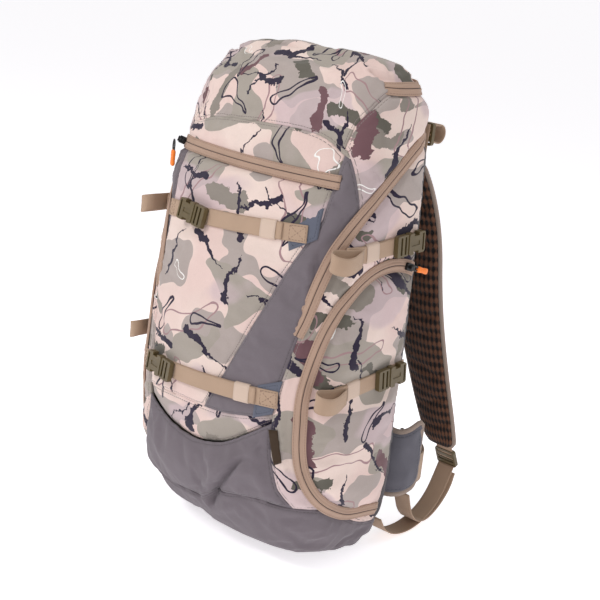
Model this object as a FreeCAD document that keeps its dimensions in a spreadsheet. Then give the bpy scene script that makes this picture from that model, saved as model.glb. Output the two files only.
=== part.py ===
"""Hunting backpack: a bottom-hinged clamshell pack with harness, as separate sub-parts.

Frame: millimetres, +Z up, +X to the right of somebody who faces the front of the pack,
+Y towards the wearer's back. The origin is the middle of the flat base.
"""
import FreeCAD, Part
import math
import os

import Sketcher
from FreeCAD import Placement, Rotation, Vector

# Driving dimensions, one cell each. A bag level is a horizontal section of the bag.
DIMENSIONS = {
    "front_radius": 400.0,       # plan radius of the bowed front
    "back_radius": 25.0,         # plan radius of the two back corners
    "skin": 2.7,                 # outer cloth layer with its lining
    "wall": 6.5,                 # padded side, back and base panels
    "tape": 1.9,                 # thickness of a zip tape
    "tape_half": 8.0,            # width of one half of a zip tape
    "fold_y": -117.0,            # the line that the flap folds about
    "fold_z": 293.0,
    "webbing": 1.8,
    "strap_width": 20.0,         # compression straps and sternum strap
    "buckle_width": 25.0,
    "harness_width": 25.0,       # webbing held by the ladder locks
    "lock_width": 30.0,
    "belt_buckle_width": 44.0,
    "socket_length": 28.0,
    "plug_length": 19.0,
    "buckle_thick": 8.0,
    "mouth_depth": 22.0,
    "slider_length": 12.0,
    "slider_width": 9.0,
    "slider_thick": 3.4,
    "lock_length": 26.0,
    "lock_thick": 5.0,
    "cord_length": 11.0,
    "grip_length": 20.0,
    "grip_width": 8.0,
    "grip_thick": 4.8,
    "sheet_width": 200.0,
    "sheet_height": 400.0,
    "sheet_thick": 1.6,
    "stay_width": 18.0,
    "stay_thick": 3.0,
    "stay_length": 390.0,
    "pad_thick": 14.0,
    "wing_thick": 12.0,
    "wing_height": 98.0,
    "belt_width": 38.0,
    "haul_thick": 2.6,
    "lid_floor_thick": 2.5,
}

# level name: height, front line, half width, front corner radius, back line, pocket depth
LEVELS = {
    "ground": (0, -29, 112, 50, 76, 0),
    "heel": (22, -73, 130, 60, 78, 8),
    "knee": (55, -98, 141, 60, 77, 18),
    "belly": (110, -117, 149, 60, 74, 22),
    "waist": (190, -124, 150, 60, 71, 22),
    "fold": (297, -116, 150, 52, 71, 22),
    "chest": (430, -97, 148, 45, 71, 22),
    "yoke": (490, -75, 145, 42, 71, 12),
    "brow": (545, -56, 140, 38, 64, 0),
    "crown": (572, -30, 133, 32, 58, 0),
    "top": (588, -6, 106, 20, 50, 0),
}
LEVEL_CELLS = ("height", "front", "half", "corner", "back", "pocket")

# Side view (y, z) of the main zip, from the fold at the front to the middle of the back.
MAIN_ZIP = [(-99, 293), (-85, 355), (-73, 394), (-51, 430), (36, 501), (58, 515), (120, 515)]
# Side view of the side pocket's zip above and below its slider's arc, front and bottom.
SIDE_ZIP_ARC = {"y": 15.0, "z": 270.0, "radius": 100.0, "first": 20.0, "last": -58.0}
SIDE_ZIP_TOP = (57, 361)
SIDE_ZIP_REST = [(-81, 299), (-89, 264), (-95, 225), (-95, 190), (-92, 160), (-86, 133),
                 (-73, 108), (-49, 87), (-6, 66), (57, 60)]

PANEL_GAP = 0.6                  # between two panels that are sewn together
TAPE_GAP = 0.3                   # between a zip tape and the cloth beside it
TAPE_SINK = 0.2                  # a tape's face lies this far below the skin's
FRONT_SEAM = 116.5               # half width of the front between its two side seams
BACK_SEAM = 57.5                 # side panels end and the back panel starts at this y
BASE_SEAM = 55.0
FAR = 400.0

doc = FreeCAD.newDocument("Backpack")
sheet = doc.addObject("Spreadsheet::Sheet", "Dimensions")
exported = []


def fill_sheet():
    """Put every driving dimension into a cell of its own, with a word as its alias."""
    cells = dict(DIMENSIONS)
    for level, values in LEVELS.items():
        for cell, value in zip(LEVEL_CELLS, values):
            cells[f"{level}_{cell}"] = value
    for row, (alias, value) in enumerate(cells.items(), start=1):
        sheet.set(f"A{row}", alias)
        sheet.set(f"B{row}", str(value))
        sheet.setAlias(f"B{row}", alias)
    doc.recompute()


def size(alias):
    return float(getattr(sheet, alias))


# ---------------------------------------------------------------- plain solids and regions

def block(low, high):
    corner = Vector(*low)
    return Part.makeBox(*(Vector(*high) - corner), corner)


def prism(points, plane, low, high):
    """A polygon drawn in a plane ("XY", "XZ" or "YZ"), extruded along the third axis."""
    lift = {
        "XY": lambda a, b: Vector(a, b, low),
        "XZ": lambda a, b: Vector(a, low, b),
        "YZ": lambda a, b: Vector(low, a, b),
    }[plane]
    along = {"XY": Vector(0, 0, 1), "XZ": Vector(0, 1, 0), "YZ": Vector(1, 0, 0)}[plane]
    corners = [lift(*point) for point in points]
    face = Part.Face(Part.makePolygon(corners + corners[:1]))
    return face.extrude(along * (high - low))


def offset_path(points, distance):
    """The open path moved sideways, to the left of its direction when distance is positive."""
    moved = []
    for index, (a, b) in enumerate(points):
        normals = []
        for start, end in ((index - 1, index), (index, index + 1)):
            if start >= 0 and end < len(points):
                da = points[end][0] - points[start][0]
                db = points[end][1] - points[start][1]
                length = math.hypot(da, db)
                normals.append((-db / length, da / length))
        na = sum(n[0] for n in normals)
        nb = sum(n[1] for n in normals)
        scale = distance * len(normals) / (na * na + nb * nb)
        moved.append((a + na * scale, b + nb * scale))
    return moved


def strip(points, thick, plane, low, high):
    """A band of even thickness that follows a path."""
    left = offset_path(points, thick / 2)
    right = offset_path(points, -thick / 2)
    return prism(left + right[::-1], plane, low, high)


def mirrored(shape):
    return shape.mirror(Vector(0, 0, 0), Vector(1, 0, 0))


def both_sides(shape):
    return Part.makeCompound([mirrored(shape), shape])


# ---------------------------------------------------------------- the bag's form

def level_at(height):
    """Front, half width, corner radius, back and pocket depth at a height."""
    rows = [[size(f"{name}_{cell}") for cell in LEVEL_CELLS] for name in LEVELS]
    for low, high in zip(rows, rows[1:]):
        if height <= high[0]:
            share = (height - low[0]) / (high[0] - low[0])
            return [a + (b - a) * share for a, b in zip(low, high)][1:]
    return rows[-1][1:]


def section(height, inset, main):
    """The bag's closed outline at a height: bowed front, two corners, straight sides, back."""
    front, half, corner, back, pocket = level_at(height)
    front += inset + (pocket if main else 0)
    half -= inset
    corner -= inset
    back -= inset
    bow = size("front_radius") - inset
    rear = size("back_radius") - inset
    corner_x = half - corner
    corner_y = front + bow - math.sqrt((bow - corner) ** 2 - corner_x ** 2)
    turn = math.asin(corner_x / (bow - corner))

    def on_arc(cx, cy, radius, angle):
        return Vector(cx + radius * math.sin(angle), cy - radius * math.cos(angle), height)

    def arc(cx, cy, radius, first, last):
        middle = (first + last) / 2
        return Part.Arc(*(on_arc(cx, cy, radius, angle) for angle in (first, middle, last)))

    quarter = math.pi / 2
    edges = [
        arc(0, front + bow, bow, -turn, turn),
        arc(corner_x, corner_y, corner, turn, quarter),
        Part.LineSegment(Vector(half, corner_y, height), Vector(half, back - rear, height)),
        arc(half - rear, back - rear, rear, quarter, 2 * quarter),
        Part.LineSegment(Vector(half - rear, back, height), Vector(rear - half, back, height)),
        arc(rear - half, back - rear, rear, 2 * quarter, 3 * quarter),
        Part.LineSegment(Vector(-half, back - rear, height), Vector(-half, corner_y, height)),
        arc(-corner_x, corner_y, corner, -quarter, -turn),
    ]
    return Part.Wire([edge.toShape() for edge in edges])


def form(inset, low=0.0, high=None, main=False):
    """The bag as one solid, its outline moved inwards; main leaves out the front pocket."""
    high = size("top_height") - inset if high is None else high
    heights = [size(f"{name}_height") for name in LEVELS]
    between = [height for height in heights if low + 0.5 < height < high - 0.5]
    wires = [section(height, inset, main) for height in [low] + between + [high]]
    return Part.makeLoft(wires, True, True)


def layer(outer, inner, low=0.0, high=None):
    """The shell between two insets of the bag's outer form."""
    return form(outer, low, high).cut(form(inner, low - 1 if low > 1 else low, high))


def front_y(x, height):
    """The y of the bag's front at a place across it."""
    front, half, corner, _, _ = level_at(height)
    bow = size("front_radius")
    corner_x = half - corner
    corner_y = front + bow - math.sqrt((bow - corner) ** 2 - corner_x ** 2)
    if abs(x) <= bow * corner_x / (bow - corner):
        return front + bow - math.sqrt(bow ** 2 - x ** 2)
    return corner_y - math.sqrt(corner ** 2 - (abs(x) - corner_x) ** 2)


def axes_at(point, along, outward):
    """A placement whose local x runs along, and local z points outward."""
    across = outward.cross(along)
    return Placement(point, Rotation(along, across, outward, "ZXY"))


def front_place(x, height, outset, roll=0.0):
    """A place on the front, local x to the right, turned by roll degrees about its normal."""
    step = 1.0
    point = Vector(x, front_y(x, height), height)
    right = Vector(2 * step, front_y(x + step, height) - front_y(x - step, height), 0)
    upward = Vector(0, front_y(x, height + step) - front_y(x, height - step), 2 * step)
    outward = right.cross(upward)
    outward.normalize()
    right.normalize()
    along = Rotation(outward, roll).multVec(right)
    return axes_at(point + outward * outset, along, outward)


def side_place(side, y, height, outset, along):
    """A place on a side, side being 1 on the right and -1 on the left."""
    half = level_at(height)[1]
    return axes_at(Vector(side * (half + outset), y, height), along, Vector(side, 0, 0))


def back_place(x, height, outset, along):
    step = 1.0
    lean = (level_at(height + step)[3] - level_at(height - step)[3]) / (2 * step)
    outward = Vector(0, 1, -lean)
    outward.normalize()
    point = Vector(x, level_at(height)[3], height)
    return axes_at(point + outward * outset, along, outward)


# ---------------------------------------------------------------- regions that panels fill

def zip_region(above, clear):
    """Everything above, or below, the main zip's line, kept clear of it by a distance."""
    path = [(-FAR, size("fold_z"))] + MAIN_ZIP
    edge = offset_path(path, clear if above else -clear)
    end = 2 * FAR if above else -FAR
    return prism(edge + [(edge[-1][0], end), (edge[0][0], end)], "YZ", -FAR, FAR)


def main_zip_band(first, last):
    """The strip between two distances from the main zip's line."""
    edge = offset_path(MAIN_ZIP, first)
    other = offset_path(MAIN_ZIP, last)
    return prism(edge + other[::-1], "YZ", -FAR, FAR)


def side_zip_path():
    """The side pocket's zip line in side view, from its top back end to its bottom back end."""
    arc = SIDE_ZIP_ARC
    points = [SIDE_ZIP_TOP]
    count = 7
    for index in range(count):
        angle = arc["first"] + (arc["last"] - arc["first"]) * index / (count - 1)
        sweep = math.radians(angle)
        y = arc["y"] + arc["radius"] * math.sin(sweep)
        points.append((y, arc["z"] + arc["radius"] * math.cos(sweep)))
    return points + SIDE_ZIP_REST


def side_pocket_region(clear, side):
    """The area inside the side pocket's zip, ending clear of the zip's line."""
    path = side_zip_path()
    (_, top), (_, bottom) = path[0], path[-1]
    beyond_back = BACK_SEAM + 15.0
    edge = offset_path([(beyond_back, top)] + path + [(beyond_back, bottom)], clear)
    low, high = (60, FAR) if side > 0 else (-FAR, -60)
    return prism(edge, "YZ", low, high)


def beyond(x):
    """Both side regions further out than x."""
    right = block((x, -FAR, -10), (FAR, FAR, 2 * FAR))
    return right.fuse(mirrored(right))


def one_side(side):
    low, high = (0, FAR) if side > 0 else (-FAR, 0)
    return block((low, -FAR, -10), (high, FAR, 2 * FAR))


def front_region(low, high):
    """The front between its side seams, between two heights."""
    return block((-FRONT_SEAM, -FAR, low), (FRONT_SEAM, 0, high))


# ---------------------------------------------------------------- keeping sub-parts

def keep(label, shape):
    """Store a cloth or webbing piece under its node's name."""
    piece = doc.addObject("Part::Feature", label)
    piece.Label = label
    piece.Shape = shape
    piece.Placement = Placement()
    exported.append(piece)
    return piece


def keep_group(label, bodies):
    """Identical hardware that shares a node, as a compound of separate solids."""
    group = doc.addObject("Part::Compound", label)
    group.Label = label
    group.Links = bodies
    exported.append(group)
    return group


# ---------------------------------------------------------------- moulded hardware

def new_body(label, place):
    body = doc.addObject("PartDesign::Body", label)
    body.Label = label
    body.Placement = place
    return body


def new_sketch(body, role, lift=0.0):
    plane = next(item for item in body.Origin.OriginFeatures if item.Role == role)
    sketch = body.newObject("Sketcher::SketchObject", f"{body.Name}_sketch")
    sketch.AttachmentSupport = [(plane, "")]
    sketch.MapMode = "FlatFace"
    sketch.AttachmentOffset = Placement(Vector(0, 0, lift), Rotation())
    return sketch


def rectangle(sketch, left, low, wide, tall):
    """A rectangle fixed by its lower left corner and its size, all four as expressions."""
    first = sketch.GeometryCount
    corners = [Vector(0, 0, 0), Vector(10, 0, 0), Vector(10, 10, 0), Vector(0, 10, 0)]
    for index, corner in enumerate(corners):
        sketch.addGeometry(Part.LineSegment(corner, corners[(index + 1) % 4]))
    for index in range(4):
        following = first + (index + 1) % 4
        sketch.addConstraint(Sketcher.Constraint("Coincident", first + index, 2, following, 1))
    for index, kind in enumerate(("Horizontal", "Vertical", "Horizontal", "Vertical")):
        sketch.addConstraint(Sketcher.Constraint(kind, first + index))
    fixed = (
        ("DistanceX", (-1, 1, first, 1, 1), left),
        ("DistanceY", (-1, 1, first, 1, 1), low),
        ("DistanceX", (first, 1, first, 2, 10), wide),
        ("DistanceY", (first + 1, 1, first + 1, 2, 10), tall),
    )
    for kind, where, expression in fixed:
        number = sketch.addConstraint(Sketcher.Constraint(kind, *where))
        sketch.setExpression(f"Constraints[{number}]", expression)


def centred(sketch, left, wide, tall):
    rectangle(sketch, left, f"-({tall}) / 2", wide, tall)


def pad(body, sketch, length, midplane=False):
    feature = body.newObject("PartDesign::Pad", f"{body.Name}_pad")
    feature.Profile = sketch
    feature.Midplane = midplane
    feature.setExpression("Length", length)
    doc.recompute()
    return feature


def pocket(body, sketch, length, reverse=False, midplane=False):
    before = body.Shape.Volume
    feature = body.newObject("PartDesign::Pocket", f"{body.Name}_pocket")
    feature.Profile = sketch
    feature.Midplane = midplane
    feature.Reversed = reverse
    feature.setExpression("Length", length)
    doc.recompute()
    if body.Shape.Volume >= before - 1e-6:
        raise ValueError(f"{body.Label}: a pocket cut nothing")
    return feature


def round_edges(body, radius, direction, where=None):
    """Fillet every straight edge that runs along a direction and passes the test."""
    base = body.Tip
    names = []
    for number, edge in enumerate(base.Shape.Edges, start=1):
        if edge.Curve.TypeId != "Part::GeomLine":
            continue
        straight = abs(edge.tangentAt(edge.FirstParameter).dot(direction)) > 0.999
        if straight and (where is None or where(edge.CenterOfMass)):
            names.append(f"Edge{number}")
    fillet = body.newObject("PartDesign::Fillet", f"{body.Name}_fillet")
    fillet.Base = (base, names)
    fillet.Radius = radius
    doc.recompute()
    return fillet


CELL = "Dimensions."
UP = Vector(0, 0, 1)


def socket(label, place, width=CELL + "buckle_width"):
    """Buckle socket: its mouth is at local x = 0 and its webbing bar at the far end."""
    body = new_body(label, place)
    length = CELL + "socket_length"
    thick = CELL + "buckle_thick"
    outline = new_sketch(body, "XY_Plane")
    centred(outline, f"-{length}", length, width)
    pad(body, outline, thick)
    round_edges(body, 3.0, UP)
    mouth = new_sketch(body, "YZ_Plane", -size("mouth_depth"))
    rectangle(mouth, f"-({width} - 8) / 2", "1.5", f"{width} - 8", f"{thick} - 3")
    pocket(body, mouth, CELL + "mouth_depth", reverse=True)
    windows = new_sketch(body, "XY_Plane")
    for low in (f"-{width} / 2 - 1", f"{width} / 2 - 3.6"):
        rectangle(windows, "-17", low, "9", "4.6")
    pocket(body, windows, thick, reverse=True)
    bar = new_sketch(body, "XY_Plane")
    centred(bar, f"2.2 - {length}", "2.6", f"{width} - 5")
    pocket(body, bar, thick, reverse=True)
    badge = new_sketch(body, "XY_Plane", size("buckle_thick"))
    centred(badge, "-18", "14", "5")
    pocket(body, badge, "0.7")
    return body


def plug(label, place, width=CELL + "buckle_width"):
    """Buckle plug: two prongs and a guide reach into the socket, two slots hold webbing."""
    body = new_body(label, place)
    base = new_sketch(body, "XY_Plane", 1.0)
    centred(base, "0.5", CELL + "plug_length", width)
    pad(body, base, f"{CELL}buckle_thick - 2")
    round_edges(body, 2.5, UP)
    prongs = new_sketch(body, "XY_Plane", 2.2)
    for low in (f"-({width} - 8) / 2 + 1.2", f"({width} - 8) / 2 - 4.2"):
        rectangle(prongs, "-17", low, "17.6", "3")
    centred(prongs, "-12", "12.6", "4")
    pad(body, prongs, f"{CELL}buckle_thick - 4.4")
    heads = new_sketch(body, "XY_Plane", 2.2)
    rectangle(heads, "-17", f"-({width} - 8) / 2 + 0.4", "6.5", "1")
    rectangle(heads, "-17", f"({width} - 8) / 2 - 1.4", "6.5", "1")
    pad(body, heads, f"{CELL}buckle_thick - 4.4")
    slots = new_sketch(body, "XY_Plane")
    for left in ("4", "11"):
        centred(slots, left, "3", f"{width} - 4.4")
    pocket(body, slots, CELL + "buckle_thick", reverse=True)
    return body


def ladder_lock(label, place):
    """Ladder lock: a plate with two slots, gripping the webbing that is threaded through."""
    body = new_body(label, place)
    outline = new_sketch(body, "XY_Plane")
    centred(outline, f"-{CELL}lock_length / 2", CELL + "lock_length", CELL + "lock_width")
    pad(body, outline, CELL + "lock_thick")
    round_edges(body, 3.0, UP)
    slots = new_sketch(body, "XY_Plane")
    for left in (f"3 - {CELL}lock_length / 2", f"{CELL}lock_length / 2 - 10", "-2"):
        centred(slots, left, "3.2", f"{CELL}lock_width - 5")
    pocket(body, slots, CELL + "lock_thick", reverse=True)
    return body


def slider(label, place, across=False):
    """Zip slider with a bail; across turns the bail so that its hole runs along the zip."""
    body = new_body(label, place)
    outline = new_sketch(body, "XY_Plane")
    centred(outline, f"-{CELL}slider_length / 2", CELL + "slider_length", CELL + "slider_width")
    pad(body, outline, CELL + "slider_thick")
    round_edges(body, 2.2, UP)
    role = "YZ_Plane" if across else "XZ_Plane"
    bail = new_sketch(body, role)
    rectangle(bail, "-3.2", f"{CELL}slider_thick - 0.4", "6.4", "4.6")
    pad(body, bail, "2.4", midplane=True)
    hole = new_sketch(body, role)
    rectangle(hole, "-1.8", "3.9", "3.6", "2.6")
    pocket(body, hole, "4", midplane=True)
    return body


PULL_PIVOT = 5.2                 # height of the bail's hole above the slider's underside


def pull(label, place):
    """Zip pull: a cord loop through the bail at local x = 0, ending in a moulded grip."""
    body = new_body(label, place)
    cord = new_sketch(body, "XY_Plane")
    centred(cord, "-0.8", f"{CELL}cord_length + 2", "6.4")
    pad(body, cord, "1.6", midplane=True)
    opening = new_sketch(body, "XY_Plane")
    centred(opening, "0.8", f"{CELL}cord_length + 1", "3.6")
    pocket(body, opening, "4", midplane=True)
    grip = new_sketch(body, "XY_Plane")
    centred(grip, CELL + "cord_length", CELL + "grip_length", CELL + "grip_width")
    pad(body, grip, CELL + "grip_thick", midplane=True)
    start = size("cord_length") - 0.1
    round_edges(body, 2.6, UP, lambda at: at.x > start and abs(at.y) > 3.5)
    return body


def lifted(place, height):
    """The same place, moved along its own normal."""
    return place.multiply(Placement(Vector(0, 0, height), Rotation()))


def turned(place, degrees):
    """The same place, turned about its own normal."""
    return place.multiply(Placement(Vector(), Rotation(UP, degrees)))


# ---------------------------------------------------------------- bag panels

def build_panels():
    shell = layer(0.0, size("wall"))
    skin = layer(0.0, size("skin"))
    tape = layer(TAPE_SINK, TAPE_SINK + size("tape"))
    tape_edge = size("tape_half") + TAPE_GAP
    below = zip_region(False, tape_edge)
    above = zip_region(True, tape_edge)
    build_back_and_base(shell, below)
    build_sides(shell, skin, tape, below)
    build_main_zip(tape)
    build_front(skin)
    build_lid(skin, tape, above)


def build_back_and_base(shell, below):
    hollow = form(size("wall"), BASE_FLOOR, BASE_SEAM + 1)
    keep("base_panel", form(0.0, 0.0, BASE_SEAM).cut(hollow))
    back = block((-FAR, BACK_SEAM + PANEL_GAP, BASE_SEAM + PANEL_GAP), (FAR, FAR, 2 * FAR))
    keep("back_panel", shell.common(back).common(below))


def build_sides(shell, skin, tape, below):
    """Each side's padded panel, its pocket's outer skin, and the zip tapes between them."""
    half = size("tape_half")
    forward = block((-FAR, -FAR, BASE_SEAM + PANEL_GAP), (FAR, BACK_SEAM, 2 * FAR))
    reach = beyond(FRONT_SEAM + PANEL_GAP).common(forward)
    tapes = []
    for name, side in (("left", -1), ("right", 1)):
        covered = side_pocket_region(-half - TAPE_GAP, side)
        recess = layer(-1.0, size("skin") + TAPE_GAP).common(covered)
        panel = shell.common(reach).common(one_side(side)).common(below)
        keep(f"side_panel_{name}", panel.cut(recess))
        inside = side_pocket_region(half + TAPE_GAP, side)
        keep(f"side_pocket_{name}", skin.common(inside).common(reach))
        band = side_pocket_region(-half, side).cut(side_pocket_region(half, side))
        tapes.append(tape.common(band).common(reach))
    keep("side_zip_tapes", Part.makeCompound(tapes))


def build_main_zip(tape):
    """The two tapes of the zip that runs up both sides and across the back."""
    low = size("fold_z") + 3.0
    sides = beyond(FRONT_SEAM + PANEL_GAP).common(block((-FAR, -FAR, low), (FAR, FAR, 2 * FAR)))
    around = sides.fuse(block((-FAR, BACK_SEAM, low), (FAR, FAR, 2 * FAR)))
    half = size("tape_half")
    for name, band in (("lower", (-half, -TAPE_GAP)), ("upper", (TAPE_GAP, half))):
        keep(f"main_zip_tape_{name}", tape.common(main_zip_band(*band)).common(around))


# Front view (x, z) of the boot pocket's scooped hem, and of the cloth's edge above it.
BOOT_HEM = [(-116.5, 168), (-70, 143), (-10, 133), (40, 145), (82, 174), (116.5, 198)]
POCKET_EDGE = [(-116.5, 174), (-40, 180), (30, 181), (80, 190), (116.5, 204)]
BASE_FLOOR = 5.0
WALL_SETBACK = 3.0               # the main front wall's face behind the pocket's back line


def build_front(skin):
    """The main front wall, and the cloth in front of it from the base up to the front zip."""
    inner = size("wall")
    low = BASE_SEAM + PANEL_GAP
    walls = form(WALL_SETBACK, main=True).cut(form(inner, main=True))
    walls = walls.common(form(inner + TAPE_GAP))
    reach = block((-FAR, -FAR, low), (FAR, 30, 500))
    keep("front_wall_lower", walls.common(reach).common(zip_region(False, 1.0)))
    keep("front_wall_upper", walls.common(reach).common(zip_region(True, 1.0)))

    foot = [(FRONT_SEAM, 0), (-FRONT_SEAM, 0)]
    below_hem = prism(BOOT_HEM + foot, "XZ", -FAR, 0)
    below_edge = prism(POCKET_EDGE + foot, "XZ", -FAR, 0)
    keep("boot_pocket", skin.common(front_region(low, 260)).common(below_hem))
    fold = size("fold_z")
    lower = skin.common(front_region(100, fold - PANEL_GAP))
    keep("front_pocket_lower", lower.cut(below_edge))
    zip_edge = FRONT_ZIP - size("tape_half") - TAPE_GAP
    upper = skin.common(front_region(fold + PANEL_GAP, zip_edge))
    keep("front_pocket_upper", upper.common(zip_region(True, PANEL_GAP)))


FRONT_ZIP = 465.0
FRONT_ZIP_END = -46.0            # the front zip turns the left corner and ends at this y
LID_ZIP = 568.0
LID_ZIP_START = -8.0
LID_FLOOR = 528.0


def zip_slot(height, first, last, gap):
    """The level band that a zip fills, from one y to another, wider by the gap all round."""
    reach = size("tape_half") + gap
    return block((-FAR, first - gap, height - reach), (FAR, last + gap, height + reach))


def build_lid(skin, tape, above):
    """Everything of the flap above and beside the front zip, with its two zip tapes."""
    left_and_front = block((-FAR, -FAR, 0), (FRONT_SEAM, 0, 2 * FAR))
    hood = skin.common(above).cut(front_region(0, FRONT_ZIP))
    hood = hood.cut(zip_slot(LID_ZIP, LID_ZIP_START, FAR, TAPE_GAP))
    hood = hood.cut(zip_slot(FRONT_ZIP, -FAR, FRONT_ZIP_END, TAPE_GAP).common(left_and_front))
    top = FRONT_ZIP + size("tape_half") + TAPE_GAP
    seam = block((FRONT_SEAM, -FAR, 0), (FRONT_SEAM + PANEL_GAP, 0, top))
    keep("lid_shell", hood.cut(both_sides(seam)))
    front_tape = tape.common(zip_slot(FRONT_ZIP, -FAR, FRONT_ZIP_END, 0.0))
    keep("front_zip_tape", front_tape.common(left_and_front))
    keep("lid_zip_tape", tape.common(zip_slot(LID_ZIP, LID_ZIP_START, FAR, 0.0)))
    floor_top = LID_FLOOR + size("lid_floor_thick")
    keep("lid_pocket_floor", form(size("skin") + PANEL_GAP, LID_FLOOR, floor_top))


# ---------------------------------------------------------------- frame and back padding

SHEET_PLACE = (61.5, 70.0)       # y of the sheet's back face, z of its lower edge
STAY_PLACE = (55.0, 59.2, 76.0)  # x, y and z of a stay's foot
PAD_FACE = 73.8                  # y where the upper back pads start
LUMBAR_FACE = 78.2


def plate(label, foot, name, corner):
    """A flat upright plate with rounded corners, its lower edge's middle at the foot."""
    body = new_body(label, axes_at(Vector(*foot), Vector(1, 0, 0), Vector(0, -1, 0)))
    outline = new_sketch(body, "XY_Plane")
    wide = f"{CELL}{name}_width"
    tall = f"{CELL}{name}_length" if name == "stay" else f"{CELL}{name}_height"
    rectangle(outline, f"-{wide} / 2", "0", wide, tall)
    pad(body, outline, f"{CELL}{name}_thick")
    round_edges(body, corner, UP)
    return body


def build_frame():
    """The plastic frame sheet with its two stays, held between the back panel and the bag."""
    exported.append(plate("frame_sheet", (0, *SHEET_PLACE), "sheet", 20.0))
    x, y, z = STAY_PLACE
    stays = [plate(f"stay_{name}", (side * x, y, z), "stay", 8.0)
             for name, side in (("left", -1), ("right", 1))]
    keep_group("frame_stays", stays)

    thick = size("pad_thick")
    upper = block((12, PAD_FACE, 132), (57, PAD_FACE + thick, 428))
    lumbar = block((-90, LUMBAR_FACE, 62), (90, LUMBAR_FACE + thick, 124))
    keep("back_pads", Part.makeCompound([mirrored(upper), upper, lumbar]))


# ---------------------------------------------------------------- straps on the bag

STRAP_OUT = 0.8                  # gap between the bag's skin and a strap
BUCKLE_OUT = 3.8                 # a buckle sits this far off the skin, over its webbing
KEEPER_LENGTH = 14.0


FRONT_STRAPS = {
    "upper": {"left": (-116, 389), "right": (104, 405), "mouth": -54.0, "keeper": 52.0},
    "lower": {"left": (-116, 204), "right": (106, 217), "mouth": -66.0, "keeper": 62.0},
}
SIDE_STRAPS = {
    "upper": {"front": (-64, 387), "rear": (56, 399), "mouth": 24.0, "keeper": -20.0},
    "lower": {"front": (-64, 228), "rear": (56, 243), "mouth": 20.0, "keeper": -24.0},
}
# Plan of the loop of spare webbing at a side strap's front end: outset from the side, and y.
TAIL_LOOP = [(0.5, -66), (4, -72), (10, -86), (6, -98), (-4, -100), (-10.5, -93)]


def band(first, last, outer, inner, plane):
    """Webbing over the skin between two ends: (x, z) across the front or (y, z) along a side."""
    half = size("strap_width") / 2
    corners = [(first[0], first[1] - half), (last[0], last[1] - half),
               (last[0], last[1] + half), (first[0], first[1] + half)]
    reach = (-FAR, 0) if plane == "XZ" else (90, FAR)
    return layer(-outer, -inner).common(prism(corners, plane, *reach))


def line_height(ends, at):
    (a0, z0), (a1, z1) = ends
    return z0 + (z1 - z0) * (at - a0) / (a1 - a0)


def keeper_band(ends, spot, plane):
    """The elastic loop that holds a strap's spare end, lying over the webbing."""
    over = STRAP_OUT + size("webbing")
    first, last = [(at, line_height(ends, at))
                   for at in (spot - KEEPER_LENGTH / 2, spot + KEEPER_LENGTH / 2)]
    return band(first, last, over + 1.3, over + 0.4, plane)


def tail_loop(height):
    half = size("strap_width") / 2
    edge = level_at(height)[1]
    path = [(edge + outset, y) for outset, y in TAIL_LOOP]
    return strip(path, size("webbing"), "XY", height - half, height + half)


def front_strap(name, strap, sockets, keepers):
    ends = (strap["left"], strap["right"])
    (x0, z0), (x1, z1) = ends
    webbing = band(*ends, STRAP_OUT + size("webbing"), STRAP_OUT, "XZ")
    loop = keeper_band(ends, strap["keeper"], "XZ")
    roll = math.degrees(math.atan2(z1 - z0, x1 - x0))
    height = line_height(ends, strap["mouth"])
    mouth = front_place(strap["mouth"], height, BUCKLE_OUT, -roll)
    body = socket(f"front_socket_{name}", mouth)
    exported.append(plug(f"front_plug_{name}", mouth))
    if name == "upper":
        keep("front_strap_upper", Part.makeCompound([webbing, loop]))
        exported.append(body)
    else:
        keep("front_strap_lower", webbing)
        keepers.append(loop)
        sockets.append(body)


def side_strap(name, strap, sockets, keepers):
    """Both straps of one height; returns their webbing."""
    ends = (strap["front"], strap["rear"])
    (y0, z0), (y1, z1) = ends
    webbing = band(*ends, STRAP_OUT + size("webbing"), STRAP_OUT, "YZ")
    keepers.append(both_sides(keeper_band(ends, strap["keeper"], "YZ")))
    forwards = Vector(0, y0 - y1, z0 - z1)
    forwards.normalize()
    height = line_height(ends, strap["mouth"])
    for side_name, side in (("left", -1), ("right", 1)):
        mouth = side_place(side, strap["mouth"], height, BUCKLE_OUT, forwards)
        sockets.append(socket(f"side_socket_{name}_{side_name}", mouth))
        exported.append(plug(f"side_plug_{name}_{side_name}", mouth))
    return [both_sides(webbing), both_sides(tail_loop(z0))]


def build_straps():
    sockets = []
    keepers = []
    webbing = []
    for name, strap in FRONT_STRAPS.items():
        front_strap(name, strap, sockets, keepers)
    for name, strap in SIDE_STRAPS.items():
        webbing += side_strap(name, strap, sockets, keepers)
    keep("side_straps", Part.makeCompound([part for group in webbing for part in group.Solids]))
    keep("strap_keepers", Part.makeCompound([part for loop in keepers for part in loop.Solids]))
    keep_group("strap_sockets", sockets)


# ---------------------------------------------------------------- zip sliders and pulls

SLIDER_OUT = 0.7
FRONT_SLIDER_X = -129.0
MAIN_SLIDER_X = 9.0
LID_SLIDER_X = 85.0


def on_front_arc(place, x):
    """A place on the middle of the front, carried round the bow until it reaches x."""
    radius = size("front_radius")
    centre = Vector(0, front_y(0, FRONT_ZIP) + radius, 0)
    turn = Rotation(UP, math.degrees(math.asin(x / radius)))
    return Placement(Vector(), turn, centre).multiply(place)


def slider_with_cord(name, place):
    """A slider whose pull hangs straight down."""
    down = 90 if place.Rotation.multVec(Vector(0, 1, 0)).z < 0 else -90
    hanging = turned(lifted(place, PULL_PIVOT), down)
    return [slider(f"{name}_runner", place, across=True), pull(f"{name}_cord", hanging)]


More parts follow.
